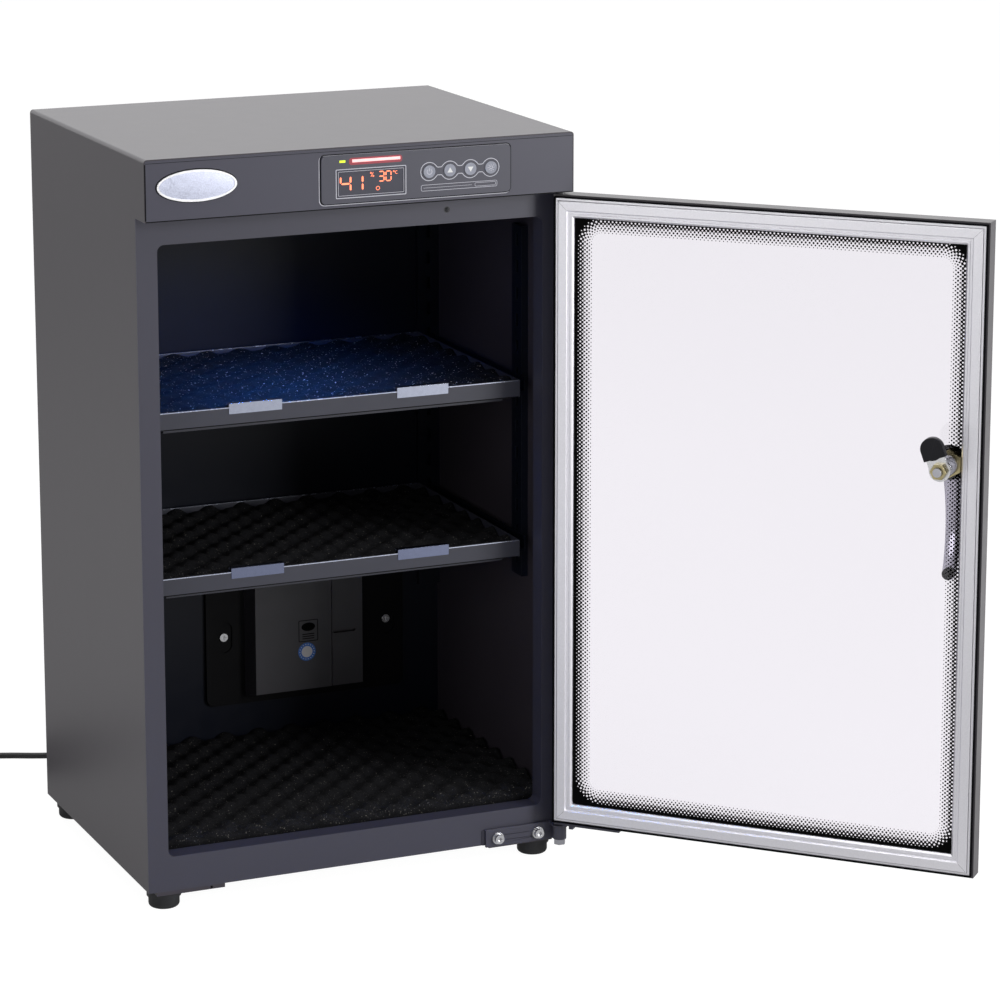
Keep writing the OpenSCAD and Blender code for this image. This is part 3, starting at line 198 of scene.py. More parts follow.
def foam(name, dark, light, tint, fleck_scale=760):
    """Open-cell foam: coarse pores over a fine grain, with the odd bright fleck."""
    m, t, s = nodes_of(name)
    pores = noise(t, PORES, 5, rough=0.75)
    flecks = noise(t, fleck_scale, 1)
    base = two_colours(t, pores, dark, light, (0.3, 0.75))
    mix = t.nodes.new("ShaderNodeMix")
    mix.data_type = "RGBA"
    mix.inputs["B"].default_value = (*tint, 1)
    t.links.new(spread(t, flecks, 0.0, 1.0, (0.7, 0.75)), mix.inputs["Factor"])
    t.links.new(base, mix.inputs["A"])
    t.links.new(mix.outputs["Result"], s.inputs["Base Color"])
    s.inputs["Roughness"].default_value = 0.95
    s.inputs["Specular IOR Level"].default_value = 0.15
    bumped(t, s, pores, 0.0012, 0.9)
    return m


MAT = {
    "case": paint("case_paint", (0.04, 0.034, 0.044), (0.388, 0.394), vary=0.006, peel=0.00003),
    "front": paint("front_paint", (0.043, 0.042, 0.062), (0.4, 0.42), vary=0.01),
    "head": paint("head_paint", (0.046, 0.045, 0.067), (0.38, 0.4), vary=0.01),
    "lining": paint("lining_paint", (0.0045, 0.006, 0.013), (0.34, 0.42), vary=0.03, spec=0.22),
    "tray": paint("tray_paint", (0.034, 0.035, 0.05), (0.34, 0.4), vary=0.01),
    "door": paint("door_paint", (0.055, 0.05, 0.058), (0.36, 0.4), vary=0.01),
    "trim": metal("trim_aluminium", (0.92, 0.91, 0.96), (0.42, 0.5), scale=700, grain=0.00001, vary=0.02),
    "badge": metal("badge_metal", (0.68, 0.71, 0.86), (0.28, 0.44), (6, 1, 3), 260, 0.00006, 0.12),
    "badge_rim": metal("badge_rim_metal", (0.95, 0.95, 0.98), (0.34, 0.42)),
    # The clips' steel is tinted with painted blue lamp light; the lower clips' darker copy is painted shade.
    "clip": metal("clip_steel", (0.56, 0.6, 0.74), (0.16, 0.2), (1, 1, 1), 260, 0.000004, 0.03),
    "clip_painted_shade": metal("clip_steel_painted_shade", (0.25, 0.28, 0.42), (0.16, 0.2), (1, 1, 1), 260, 0.000004, 0.03),
    "zinc": metal("zinc_plate", (0.72, 0.72, 0.74), (0.2, 0.34)),
    "yellow": metal("yellow_zinc", (0.5, 0.43, 0.24), (0.2, 0.34), vary=0.25, scale=120),
    "chrome": metal("chrome_plate", (0.46, 0.46, 0.5), (0.14, 0.22), vary=0.02, grain=0.000004),
    "rubber": rubber("black_rubber", (0.012, 0.012, 0.014)),
    "sleeve": paint("sleeve_plastic", (0.009, 0.009, 0.012), (0.35, 0.45), peel_scale=1400, spec=0.2),
    "seal": paint("seal_rubber", (0.002, 0.002, 0.003), (0.6, 0.7), spec=0.02),
    # Painted glow: the light bar's light on the panel round it, drawn as a faintly lit sheet.
    "glow": lit("painted_red_glow", (0.2, 0.04, 0.05), 0.16, (1.0, 0.1, 0.16)),
    # Painted highlight: a bright bluish strip standing for the light on the trays' rounded lip edges.
    "painted_highlight_steel": metal("painted_highlight_edge", (0.7, 0.74, 0.9), (0.2, 0.3)),
    "plastic": paint("black_plastic", (0.018, 0.018, 0.022), (0.38, 0.5), peel_scale=1400),
    "unit": paint("unit_cover_plastic", (0.05, 0.048, 0.056), (0.4, 0.5), peel_scale=1400, vary=0.12),
    "unit_back": paint("unit_base_plastic", (0.004, 0.004, 0.005), (0.5, 0.6), peel_scale=1400, spec=0.12),
    "panel": paint("panel_film", (0.05, 0.05, 0.07), (0.36, 0.4), peel_scale=1600, peel=0.00002, vary=0.02),
    "button": paint("button_plastic", (0.24, 0.25, 0.3), (0.2, 0.3), peel=0.00001, vary=0.1),
    "board": paint("board_mask", (0.02, 0.09, 0.04), (0.25, 0.35)),
    "white": paint("white_plastic", (0.62, 0.62, 0.62), (0.35, 0.45)),
    "print": paint("grey_print", (0.5, 0.5, 0.56), (0.45, 0.55), peel=0.00001),
    # Near-black for thin dark lines; round the panel, along the head's foot, round the badge and down the
    # head's side they are painted shade and shadow.
    "groove": paint("dark_line_paint", (0.003, 0.003, 0.004), (0.5, 0.6), peel=0.00001, spec=0.1),
    "line": paint("mitre_line", (0.2, 0.2, 0.22), (0.5, 0.6), peel=0.00001),
    "window": paint("display_film", (0.062, 0.062, 0.08), (0.12, 0.18), peel=0.000004),
    "digit": lit("lit_digits", (1.0, 0.3, 0.16), 1.15, (1.0, 0.2, 0.09)),
    "led": lit("lit_led", (0.6, 0.75, 0.03), 0.95),
    "bar": lit("lit_bar", (0.9, 0.4, 0.42), 0.75, (1.0, 0.58, 0.56)),
    "lamp": lit("lit_lamp", (0.35, 0.55, 1.0), 6.0, (0.1, 0.3, 1.0)),
    "foam": foam("dark_foam", (0.0015, 0.0015, 0.002), (0.02, 0.02, 0.023), (0.2, 0.19, 0.17)),
    "foam_upper": foam(
        "upper_dark_foam", (0.001, 0.001, 0.0015), (0.018, 0.018, 0.019), (0.75, 0.66, 0.6), 540
    ),
    "cord": rubber("cord_jacket", (0.012, 0.012, 0.013), (0.4, 0.55), 2200, 0.00003),
    "sticker": paint("blue_sticker", (0.02, 0.14, 0.5), (0.3, 0.4)),
    "ink": paint("border_ink", (0.002, 0.002, 0.002), (0.5, 0.6), spec=0.03),
}


def glass_material():
    """Clear glass with the faint violet tint of the photograph."""
    m, t, s = nodes_of("door_glass_clear")
    tint = two_colours(t, noise(t, 3, 2), (0.826, 0.802, 0.85), (0.83, 0.806, 0.854))
    t.links.new(tint, s.inputs["Base Color"])
    s.inputs["Transmission Weight"].default_value = 1.0
    s.inputs["Roughness"].default_value = 0.0
    s.inputs["IOR"].default_value = 1.45
    return m


MAT["glass"] = glass_material()

NODE_LOOKS = {
    "case_wrap": "case", "rear_cover": "case", "base_pan": "case", "front_frame": "front",
    "head_fascia": "head", "hinge_bracket": "front", "hinge_spacer": "front",
    "floor_liner": "lining", "ceiling_liner": "lining", "back_liner": "lining", "pilasters": "lining",
    "upper_rails": "lining", "lower_rails": "lining", "upper_tray": "tray", "lower_tray": "tray",
    "feet": "rubber", "foot_screws": "zinc", "badge": "badge_rim", "control_panel": "panel",
    "display_window": "window", "status_lens": "led", "light_bar": "bar", "control_board": "board",
    "door_sensor": "plastic", "lamp_housing": "white", "lamp_lens": "lamp", "unit_base": "unit_back",
    "unit_cover": "unit", "unit_screws": "zinc", "hinge_screws": "zinc", "lower_pivot_bolt": "chrome",
    "upper_pivot_pin": "zinc", "upper_hinge_plate": "zinc", "cable_gland": "plastic",
    "button_power": "button", "button_up": "button", "button_down": "button", "button_lamp": "button",
    "upper_clips": "clip", "lower_clips": "clip_painted_shade", "door_frame": "door", "door_trim": "trim",
    "door_glass": "glass", "door_gasket": "seal", "hinge_bushes": "white", "door_hinge_plate": "front",
    "lock_barrel": "chrome", "lock_nut": "yellow", "lock_handle": "chrome", "handle_bumper": "sleeve",
    "cam_plate": "zinc", "cam_sleeve": "sleeve", "cam_nut": "yellow", "key_cylinder": "zinc",
    "plug": "plastic",
}
# How wide the light-catching edge of a node is, in millimetres, where it isn't the plain one
PLAIN_EDGE = 0.3
EDGES = {
    "door_glass": 0, "door_trim": 0.25, "door_frame": 0.5, "feet": 0, "lock_handle": 0.8,
    "cam_sleeve": 1.2, "plug": 1.6, "unit_cover": 1.4, "case_wrap": 0.25, "front_frame": 0,
    "head_fascia": 0.35, "button_power": 0.5, "button_up": 0.5, "button_down": 0.5, "button_lamp": 0.5,
    "cable_gland": 0.2, "door_gasket": 0.5, "display_window": 0.15, "light_bar": 0.4,
    "badge": 0.4, "pilasters": 0.2, "key_cylinder": 0.2,
}
# Broad flat sheets, shaded flat up to the rims of their holes
FLAT_SHEETS = ("head_fascia", "case_wrap", "rear_cover", "control_panel", "unit_cover")
WELD_REACH = 2e-6
SHARP = math.radians(35)


def soften(obj, width):
    """Joins the facets and rounds the hard edges so that they catch the light."""
    weld = obj.modifiers.new("join", "WELD")
    weld.merge_threshold = WELD_REACH
    bevel = obj.modifiers.new("edges", "BEVEL")
    bevel.width = width * MM
    bevel.segments = 2
    bevel.limit_method = "ANGLE"
    bevel.angle_limit = SHARP
    bevel.use_clamp_overlap = True
    bevel.harden_normals = True
    if obj.name in FLAT_SHEETS:
        obj.modifiers.new("flat", "WEIGHTED_NORMAL").keep_sharp = True


for node, look in NODE_LOOKS.items():
    obj = NODES[node]
    obj.data.materials.clear()
    obj.data.materials.append(MAT[look])
    width = EDGES.get(node, PLAIN_EDGE)
    if width > 0:
        soften(obj, width)

# Helpers that make pieces


def piece(name, verts, faces, look, body, smooth=False, stands_for=()):
    """A new mesh piece from millimetre points, riding on a body."""
    mesh = bpy.data.meshes.new(name)
    mesh.from_pydata([Vector(v) * MM for v in verts], [], faces)
    mesh.update()
    bm = bmesh.new()
    bm.from_mesh(mesh)
    bmesh.ops.recalc_face_normals(bm, faces=bm.faces)
    bm.to_mesh(mesh)
    bm.free()
    mesh.materials.append(MAT[look])
    if smooth:
        mesh.polygons.foreach_set("use_smooth", [True] * len(mesh.polygons))
    obj = bpy.data.objects.new(name, mesh)
    SCENE.collection.objects.link(obj)
    if stands_for:
        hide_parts(*stands_for)
    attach(obj, body)
    return obj


class Sheet:
    """Collects flat outlines, drawn in two directions on a plane, as thin solids."""

    def __init__(self, origin, u, v, n, thick):
        self.o, self.u, self.v, self.n = (Vector(a) for a in (origin, u, v, n))
        self.thick = thick
        self.verts, self.faces = [], []

    def at(self, a, b, h=0.0):
        """A point of the plane, or h above it."""
        return self.o + self.u * a + self.v * b + self.n * h

    def shape(self, outline):
        """A filled outline."""
        k, m = len(self.verts), len(outline)
        self.verts += [self.at(*q) for q in outline] + [self.at(*q, self.thick) for q in outline]
        self.faces.append(tuple(range(k + m, k + 2 * m)))
        self.faces.append(tuple(reversed(range(k, k + m))))
        for i in range(m):
            j = (i + 1) % m
            self.faces.append((k + i, k + j, k + m + j, k + m + i))

    def stroke(self, points, width, closed=False):
        """A ribbon of that width along a line."""
        n = len(points)
        left, right = [], []
        for i, p in enumerate(points):
            a = points[(i - 1) % n] if closed or i > 0 else p
            b = points[(i + 1) % n] if closed or i < n - 1 else p
            d = Vector((b[0] - a[0], b[1] - a[1])).normalized()
            s = Vector((-d.y, d.x)) * width / 2
            left.append((p[0] + s.x, p[1] + s.y))
            right.append((p[0] - s.x, p[1] - s.y))
        k = len(self.verts)
        self.verts += [self.at(*q) for q in left] + [self.at(*q) for q in right]
        self.verts += [self.at(*q, self.thick) for q in left] + [self.at(*q, self.thick) for q in right]
        last = n if closed else n - 1
        for i in range(last):
            j = (i + 1) % n
            a, b, c, d = k + i, k + j, k + n + j, k + n + i
            e = 2 * n
            self.faces += [(a, b, c, d), (a + e, d + e, c + e, b + e)]
            self.faces += [(a, a + e, b + e, b), (d, c, c + e, d + e)]
        if not closed:
            for i in (0, n - 1):
                a, d, e = k + i, k + n + i, 2 * n
                self.faces.append((a, d, d + e, a + e))

    def make(self, name, look, body, slot):
        """Turns all that was drawn into one piece."""
        piece(name, self.verts, self.faces, look, body)


def arc(cx, cy, r, a0, a1, steps):
    """Points round a centre from one angle to another, in degrees."""
    angles = [math.radians(a0 + (a1 - a0) * i / steps) for i in range(steps + 1)]
    return [(cx + r * math.cos(a), cy + r * math.sin(a)) for a in angles]


def oval(cx, cy, a, b, count):
    """Points round an oval with half axes a and b."""
    return [(cx + a * math.cos(t), cy + b * math.sin(t))
            for t in (2 * math.pi * k / count for k in range(count))]


def rounded(x0, x1, z0, z1, r, steps):
    """A rectangle with round corners."""
    return (
        arc(x1 - r, z1 - r, r, 0, 90, steps) + arc(x0 + r, z1 - r, r, 90, 180, steps)
        + arc(x0 + r, z0 + r, r, 180, 270, steps) + arc(x1 - r, z0 + r, r, 270, 360, steps)
    )


# Cord, coil and tie

# The height of the cord's middle where it lies on the floor
CORD_Z = 3.6
ROUTE = [
    (-60, 178, 74), (-60, 191, 74), (-61, 205, 72), (-62, 219, 67), (-64, 232, 59), (-66, 244, 48),
    (-69, 255, 36), (-73, 266, 24), (-78, 277, 13), (-85, 287, 6), (-95, 295, CORD_Z),
    (-108, 300, CORD_Z), (-122, 303, CORD_Z), (-137, 306, CORD_Z), (-152, 310, CORD_Z),
    (-167, 316, CORD_Z), (-182, 323, CORD_Z), (-197, 329, CORD_Z), (-212, 334, CORD_Z),
    (-227, 338, CORD_Z), (-242, 340, CORD_Z), (-256, 340, CORD_Z),
]
CORD_D = 6.0
CORD_SIDES = 12
COIL_AT = (-262.0, 296.0)
COIL_R = 44.0
LAYER_TURNS = 2.5
TURN_PITCH = 6.6
LAYER_RISE = 6.5
COIL_TAIL = 40.0
COIL_IN = COIL_R - LAYER_TURNS * TURN_PITCH
STEPS_A_TURN = 40
# The strap round the coil: its place in degrees, half its width, thickness and play
TIE_AT = 262
TIE_HALF = 4
TIE_T = 0.4
TIE_PLAY = 0.5


def coil_place(t):
    """The cord's middle after t turns: inwards in the lower layer, then outwards in the upper one."""
    a = math.radians(90 + 360 * t)
    r = COIL_IN + TURN_PITCH * abs(t - LAYER_TURNS)
    c = max(-1.0, min(1.0, 4 * (t - LAYER_TURNS)))
    return (COIL_AT[0] + r * math.cos(a), COIL_AT[1] + r * math.sin(a), CORD_Z + LAYER_RISE * (1 + c) / 2)


def smooth_line(points, steps):
    """A Catmull-Rom line through the points."""
    pts = [Vector(p) for p in points]
    out = []
    for i in range(len(pts) - 1):
        p0, p1, p2, p3 = pts[max(i - 1, 0)], pts[i], pts[i + 1], pts[min(i + 2, len(pts) - 1)]
        for k in range(steps):
            t = k / steps
            out.append(
                0.5 * (2 * p1 + (p2 - p0) * t + (2 * p0 - 5 * p1 + 4 * p2 - p3) * t * t
                       + (3 * p1 - p0 - 3 * p2 + p3) * t * t * t)
            )
    out.append(pts[-1])
    return out


def tube(points, radius, sides):
    """A round solid along a line."""
    verts, faces = [], []
    n = len(points)
    for i, p in enumerate(points):
        d = (points[min(i + 1, n - 1)] - points[max(i - 1, 0)]).normalized()
        s = d.cross(Vector((0, 0, 1))).normalized()
        u = s.cross(d)
        verts += [p + radius * (s * math.cos(a) + u * math.sin(a))
                  for a in (2 * math.pi * (k + 0.5) / sides for k in range(sides))]
    for i in range(n - 1):
        for k in range(sides):
            m = (k + 1) % sides
            faces.append((i * sides + k, i * sides + m, (i + 1) * sides + m, (i + 1) * sides + k))
    faces.append(tuple(reversed(range(sides))))
    faces.append(tuple(range((n - 1) * sides, n * sides)))
    return verts, faces


def make_cord():
    """The lead from the gland over the floor into the coil, and on to the plug."""
    line = smooth_line(ROUTE, 4)
    turns = 2 * LAYER_TURNS
    count = int(turns * STEPS_A_TURN)
    line += [Vector(coil_place(turns * k / count)) for k in range(count + 1)]
    z = CORD_Z + LAYER_RISE
    line += [Vector((COIL_AT[0] - COIL_TAIL * s, COIL_AT[1] + COIL_R, z)) for s in (0.25, 0.5, 0.75, 1)]
    length = sum((b - a).length for a, b in zip(line, line[1:]))
    verts, faces = tube(line, CORD_D / 2, CORD_SIDES)
    obj = piece("mains_lead", verts, faces, "cord", "case", smooth=True,
                stands_for=("power_cord", "cord_coil"))
    return obj, [tuple(p * MM) for p in line], length * MM


def make_tie():
    """A soft strap round the coil's turns."""
    a = math.radians(TIE_AT)
    out = Vector((math.cos(a), math.sin(a), 0))
    r0, r1 = COIL_IN - CORD_D / 2 - TIE_PLAY, COIL_R + CORD_D / 2 + TIE_PLAY
    high = CORD_Z + LAYER_RISE + CORD_D / 2 + TIE_PLAY
    ring = rounded(r0, r1, 0.15, high, 2.6, 6)
    inner = rounded(r0 + TIE_T, r1 - TIE_T, 0.2, high - TIE_T, 2.4, 6)
    side = Vector((-out.y, out.x, 0))
    c = Vector((COIL_AT[0], COIL_AT[1], 0))
    verts, faces, n = [], [], len(ring)
    for w, loop in ((-TIE_HALF, ring), (TIE_HALF, ring), (TIE_HALF, inner), (-TIE_HALF, inner)):
        verts += [c + out * r + side * w + Vector((0, 0, z)) for r, z in loop]
    for j in range(4):
        for i in range(n):
            k = (i + 1) % n
            m = (j + 1) % 4
            faces.append((j * n + i, j * n + k, m * n + k, m * n + i))
    return piece("cord_tie", verts, faces, "rubber", "case")


lead, lead_path, lead_length = make_cord()
tie = make_tie()

# Foam mats

# The crests' wanted spacing and how rounded they are, the facets to each, and the fine ripple over them
CREST_STEP = 17.0
CREST_POWER = 0.85
CREST_FINE = 6
RIPPLE = 0.25
# The mat, the piece that stands for it, its look, the depth of its waves, its body
MATS = (
    ("floor_mat", "floor_foam", "foam", 7.0, "case"),
    ("upper_mat", "upper_foam", "foam_upper", 4.0, "tray_upper"),
    ("lower_mat", "lower_foam", "foam", 7.0, "tray_lower"),
)


def foam_ripple(x, y):
    """A small uneven wave over the mat's surface."""
    return RIPPLE * math.sin(x * 1.9 + 3 * math.sin(y * 0.37)) * math.sin(y * 2.3 + 2 * math.sin(x * 0.31))


def egg_crate(node, wave):
    """A fine egg-crate surface with the CAD mat's own crests and hollows."""
    lo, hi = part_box(node)
    x0, y0, z0 = (v / MM for v in lo)
    x1, y1, z1 = (v / MM for v in hi)
    nx, ny = round((x1 - x0) / CREST_STEP), round((y1 - y0) / CREST_STEP)
    sx, sy = (x1 - x0) / nx, (y1 - y0) / ny
    cols, rows = nx * CREST_FINE, ny * CREST_FINE
    verts = []
    for i in range(cols + 1):
        for j in range(rows + 1):
            x, y = x0 + (x1 - x0) * i / cols, y0 + (y1 - y0) * j / rows
            c = math.cos(math.pi * (x - x0) / sx) * math.cos(math.pi * (y - y0) / sy)
            c = math.copysign(abs(c) ** CREST_POWER, c)
            verts.append((x, y, min(z1, z1 - wave * (1 - c) / 2 + foam_ripple(x, y) - RIPPLE)))
    step = rows + 1
    faces = [(i * step + j, (i + 1) * step + j, (i + 1) * step + j + 1, i * step + j + 1)
             for i in range(cols) for j in range(rows)]
    rim = ([(i, 0) for i in range(cols)] + [(cols, j) for j in range(rows)]
           + [(i, rows) for i in range(cols, 0, -1)] + [(0, j) for j in range(rows, 0, -1)])
    base = len(verts)
    for i, j in rim:
        x, y, _ = verts[i * step + j]
        verts.append((x, y, z0))
    m = len(rim)
    for k in range(m):
        a, b = rim[k], rim[(k + 1) % m]
        faces.append((a[0] * step + a[1], b[0] * step + b[1], base + (k + 1) % m, base + k))
    faces.append(tuple(base + k for k in range(m)))
    return verts, faces


for node, name, look, wave, body in MATS:
    verts, faces = egg_crate(node, wave)
    mat = piece(name, verts, faces, look, body, smooth=True, stands_for=(node,))

# Panel prints

ON_PANEL = FACE - PROUD
# The middle of the display, its width and height, and how far the figures lie behind the panel's face
SCREEN = (6.0, 647.0, 64.0, 24.0)
FIGURES_IN = 0.3
# The lit segments of each figure
SEGMENTS = {"0": "abcdef", "1": "bc", "3": "abcdg", "4": "bcfg"}
# Each figure: left, foot, width, height, stroke
FIGURES = (
    ("4", -22.2, 640.2, 9.2, 13.2, 1.6), ("1", -11.0, 640.2, 9.2, 13.2, 1.6),
    ("3", 13.4, 647.2, 4.8, 8.4, 1.05), ("0", 20.0, 647.2, 4.8, 8.4, 1.05),
)
# Arcs of the degree sign, a small C, the percent sign and a ring: centre, radius, angles, steps, stroke.
# An arc that starts at 0 is a whole ring.
DISPLAY_ARCS = (
    (27.4, 655.0, 0.6, 0, 337.5, 15, 0.35), (30.0, 654.0, 1.3, 55, 305, 12, 0.4),
    (6.0, 654.9, 0.6, 0, 330, 11, 0.4), (8.2, 652.1, 0.6, 0, 330, 11, 0.4),
    (12.4, 641.2, 1.6, 0, 337.5, 15, 0.5),
)
PERCENT_BAR = ((6.0, 651.6), (8.2, 655.4))
# The light lines round the window: how far outside it and how wide
BEZEL = ((0.5, 0.7), (-1.5, 0.35))
# The painted red glow round the light bar, a faintly lit sheet on the panel: left, right, foot, top, corner
PAINTED_GLOW_BOX = (-14.4, 35.2, 663.0, 669.2, 2.6)
BUTTONS = [60.5 + 19.5 * k for k in range(4)]
BUTTON_Z = 652.5
ICON_BODIES = ("press_power", "press_up", "press_down", "press_lamp")
# How far the buttons stand out of the panel
BUTTON_OUT = 0.9
# The line round the buttons: its radius, half its height between them, the softness of the corners there
WAVE_R, WAVE_NECK, WAVE_SOFT = 8.0, 3.4, 0.9
WAVE_STEPS = 150
# Printed boxes below the buttons: left, right, foot, top, corner, steps and stroke
PRINTED_BOXES = ((53, 125, 635.6, 640.8, 1.4, 5, 0.35), (104, 123.6, 636.7, 639.7, 0.9, 4, 0.3))
PRINTED_BAR = ((55, 638.2), (101, 638.2))
# The dark ring round the panel, painted shade of its recess, and the light ring beside it, a painted highlight
# of the recess's rim: name, look, box, corner, stroke, height
PANEL_RINGS = (
    ("panel_painted_shade_ring", "groove", (-40.7, 138.7, 629.4, 672.7), 4.4, 0.9, 0.15),
    ("panel_painted_highlight_ring", "print", (-41.5, 138.3, 628.7, 672.2), 4.6, 0.7, 0.1),
)


def front_sheet(y, thick):
    """A drawing plane that faces the front."""
    return Sheet((0, y, 0), (1, 0, 0), (0, 0, 1), (0, -1, 0), thick)


def segment_digit(sheet, x, z, w, h, on, stroke):
    """A seven-segment figure. x, z is its lower left corner, and on names the lit segments."""
    g = stroke * 0.35
    half = stroke / 2
    bars = {
        "a": ((x + g, z + h), (x + w - g, z + h)), "g": ((x + g, z + h / 2), (x + w - g, z + h / 2)),
        "d": ((x + g, z), (x + w - g, z)), "f": ((x, z + h / 2 + g), (x, z + h - g)),
        "b": ((x + w, z + h / 2 + g), (x + w, z + h - g)), "e": ((x, z + g), (x, z + h / 2 - g)),
        "c": ((x + w, z + g), (x + w, z + h / 2 - g)),
    }
    for k in on:
        (ax, az), (bx, bz) = bars[k]
        if abs(ax - bx) > abs(az - bz):
            sheet.shape([(ax, az), (ax + half, az - half), (bx - half, az - half), (bx, bz),
                         (bx - half, bz + half), (ax + half, az + half)])
        else:
            sheet.shape([(ax, az), (ax + half, az + half), (ax + half, bz - half), (bx, bz),
                         (ax - half, bz - half), (ax - half, az + half)])


def make_display():
    """The lit figures, the light lines round the window and the painted glow round the light bar."""
    s = front_sheet(ON_PANEL + FIGURES_IN, 0.1)
    for figure, x, z, w, h, stroke in FIGURES:
        segment_digit(s, x, z, w, h, SEGMENTS[figure], stroke)
    s.stroke(PERCENT_BAR, 0.45)
    for x, z, r, a0, a1, steps, stroke in DISPLAY_ARCS:
        s.stroke(arc(x, z, r, a0, a1, steps), stroke, closed=a0 == 0)
    s.make("display_figures", "digit", "case", "red_lens")
    bezel = front_sheet(ON_PANEL - 0.02, 0.25)
    x, z, w, h = SCREEN
    for more, stroke in BEZEL:
        a, b = w / 2 + more, h / 2 + more
        bezel.stroke(rounded(x - a, x + a, z - b, z + b, 0.6, 4), stroke, closed=True)
    bezel.make("display_bezel", "print", "case", "panel_plastic")
    # A faintly lit sheet round the light bar: painted glow of its light on the panel.
    glow = front_sheet(ON_PANEL - 0.01, 0.05)
    glow.shape(rounded(*PAINTED_GLOW_BOX, 6))
    glow.make("painted_bar_glow", "glow", "case", "panel_plastic")


def wave_outline():
    """The line round the four buttons, drawn in where it passes between them."""
    x0, x1 = BUTTONS[0], BUTTONS[-1]
    upper = []
    for i in range(WAVE_STEPS + 1):
        x = x0 - WAVE_R + (x1 - x0 + 2 * WAVE_R) * i / WAVE_STEPS
        near = min(abs(x - b) for b in BUTTONS)
        h = math.sqrt(max(0.0, WAVE_R * WAVE_R - near * near))
        if x0 < x < x1:
            h = WAVE_SOFT * math.log(math.exp(h / WAVE_SOFT) + math.exp(WAVE_NECK / WAVE_SOFT))
        upper.append((x, h))
    return [(x, BUTTON_Z + h) for x, h in upper] + [(x, BUTTON_Z - h) for x, h in reversed(upper[1:-1])]


def make_panel_prints():
    """The pale lines printed on the panel, and round it a ring of painted shade and a ring of painted
    highlight.
    """
    s = front_sheet(ON_PANEL, 0.08)
    s.stroke(wave_outline(), 0.6, closed=True)
    for *box, steps, stroke in PRINTED_BOXES:
        s.stroke(rounded(*box, steps), stroke, closed=True)
    s.stroke(PRINTED_BAR, 0.25)
    s.make("panel_print", "print", "case", "panel_plastic")
    # Painted shade and a painted highlight round the panel's recess.
    for name, look, box, corner, stroke, thick in PANEL_RINGS:
        ring = front_sheet(FACE, thick)
        ring.stroke(rounded(*box, corner, 6), stroke, closed=True)
        ring.make(name, look, "case", "panel_plastic")


# The icons' sizes: the power sign's ring and bar, half an arrow, the lamp's ring and rays
POWER_R, POWER_BAR = 2.3, (0.4, 3.1)
ARROW_W, ARROW_FOOT, ARROW_TIP = 2.6, 1.9, 2.6
LAMP_R, LAMP_RAYS = 1.3, (2.1, 3.2)
ICON_LINE, LAMP_LINE = 0.5, 0.45


def draw_power(s, x, z):
    s.stroke(arc(x, z, POWER_R, 125, 415, 20), ICON_LINE)
    s.stroke([(x, z + up) for up in POWER_BAR], ICON_LINE)


def draw_arrow(s, x, z, way):
    foot = z - ARROW_FOOT * way
    s.shape([(x - ARROW_W, foot), (x + ARROW_W, foot), (x, z + ARROW_TIP * way)])


def draw_lamp(s, x, z):
    s.stroke(arc(x, z, LAMP_R, 0, 345, 15), LAMP_LINE, closed=True)
    for a in range(0, 360, 45):
        c, d = math.cos(math.radians(a)), math.sin(math.radians(a))
        s.stroke([(x + r * c, z + r * d) for r in LAMP_RAYS], LAMP_LINE)


def make_icons():
    """A power sign, two arrows and a lamp sign, each riding on its button."""
    for k, (x, body) in enumerate(zip(BUTTONS, ICON_BODIES)):
        s = front_sheet(ON_PANEL - BUTTON_OUT, 0.06)
        if k == 0:
            draw_power(s, x, BUTTON_Z)
        elif k == 3:
            draw_lamp(s, x, BUTTON_Z)
        else:
            draw_arrow(s, x, BUTTON_Z, 1 if k == 1 else -1)
        s.make(f"icon_{k + 1}", "print" if k in (0, 3) else "white", body, "button_metal")


make_display()
make_panel_prints()
make_icons()

# Badge

# Its middle, the half axes of its bare field and of the painted shadow line round it
BADGE_AT = (-153.0, 654.5)
FIELD_HALF = (34.0, 11.8)
BADGE_SHADOW_HALF = (36.3, 14.05)
FIELD_RINGS, FIELD_SIDES = 6, 64
# How far behind the rim the field's middle lies, and how much further its outside
FIELD_IN, CROWN = 0.15, 0.3


def make_badge_field():
    """The bare field, a shallow crown inside the rim."""
    middle = FACE - PROUD + FIELD_IN
    verts = [(BADGE_AT[0], middle, BADGE_AT[1])]
    for k in range(1, FIELD_RINGS + 1):
        share = k / FIELD_RINGS
        ring = oval(*BADGE_AT, FIELD_HALF[0] * share, FIELD_HALF[1] * share, FIELD_SIDES)
        verts += [(x, middle + CROWN * share * share, z) for x, z in ring]
    faces = [(0, 1 + i, 1 + (i + 1) % FIELD_SIDES) for i in range(FIELD_SIDES)]
    for k in range(FIELD_RINGS - 1):
        p = 1 + k * FIELD_SIDES
        for i in range(FIELD_SIDES):
            j = (i + 1) % FIELD_SIDES
            faces.append((p + i, p + j, p + FIELD_SIDES + j, p + FIELD_SIDES + i))
    piece("badge_field", verts, faces, "badge", "case", smooth=True)


make_badge_field()

# Dehumidifier labels

# The depths of the unit's base and cover, and where that puts the cover's face
BASE_D, COVER_D = 4, 18
UNIT_FACE = LINER_Y - BASE_D - COVER_D
LABEL_BOX = (44.4, 63.8, 151.2, 172.0)
LABEL_OVAL = (54.1, 165.4, 7.0, 4.2)
LABEL_LINES = (158.2, 156.0, 153.8)
# The sticker's middle, its radius, and the radii of its plain centre, its ring of dots and each dot
STICKER_AT = (52.5, 140.6)
STICKER_R, STICKER_CENTRE, STICKER_RING, STICKER_DOT = 9.0, 5.6, 7.4, 0.55
STICKER_DOTS = 18


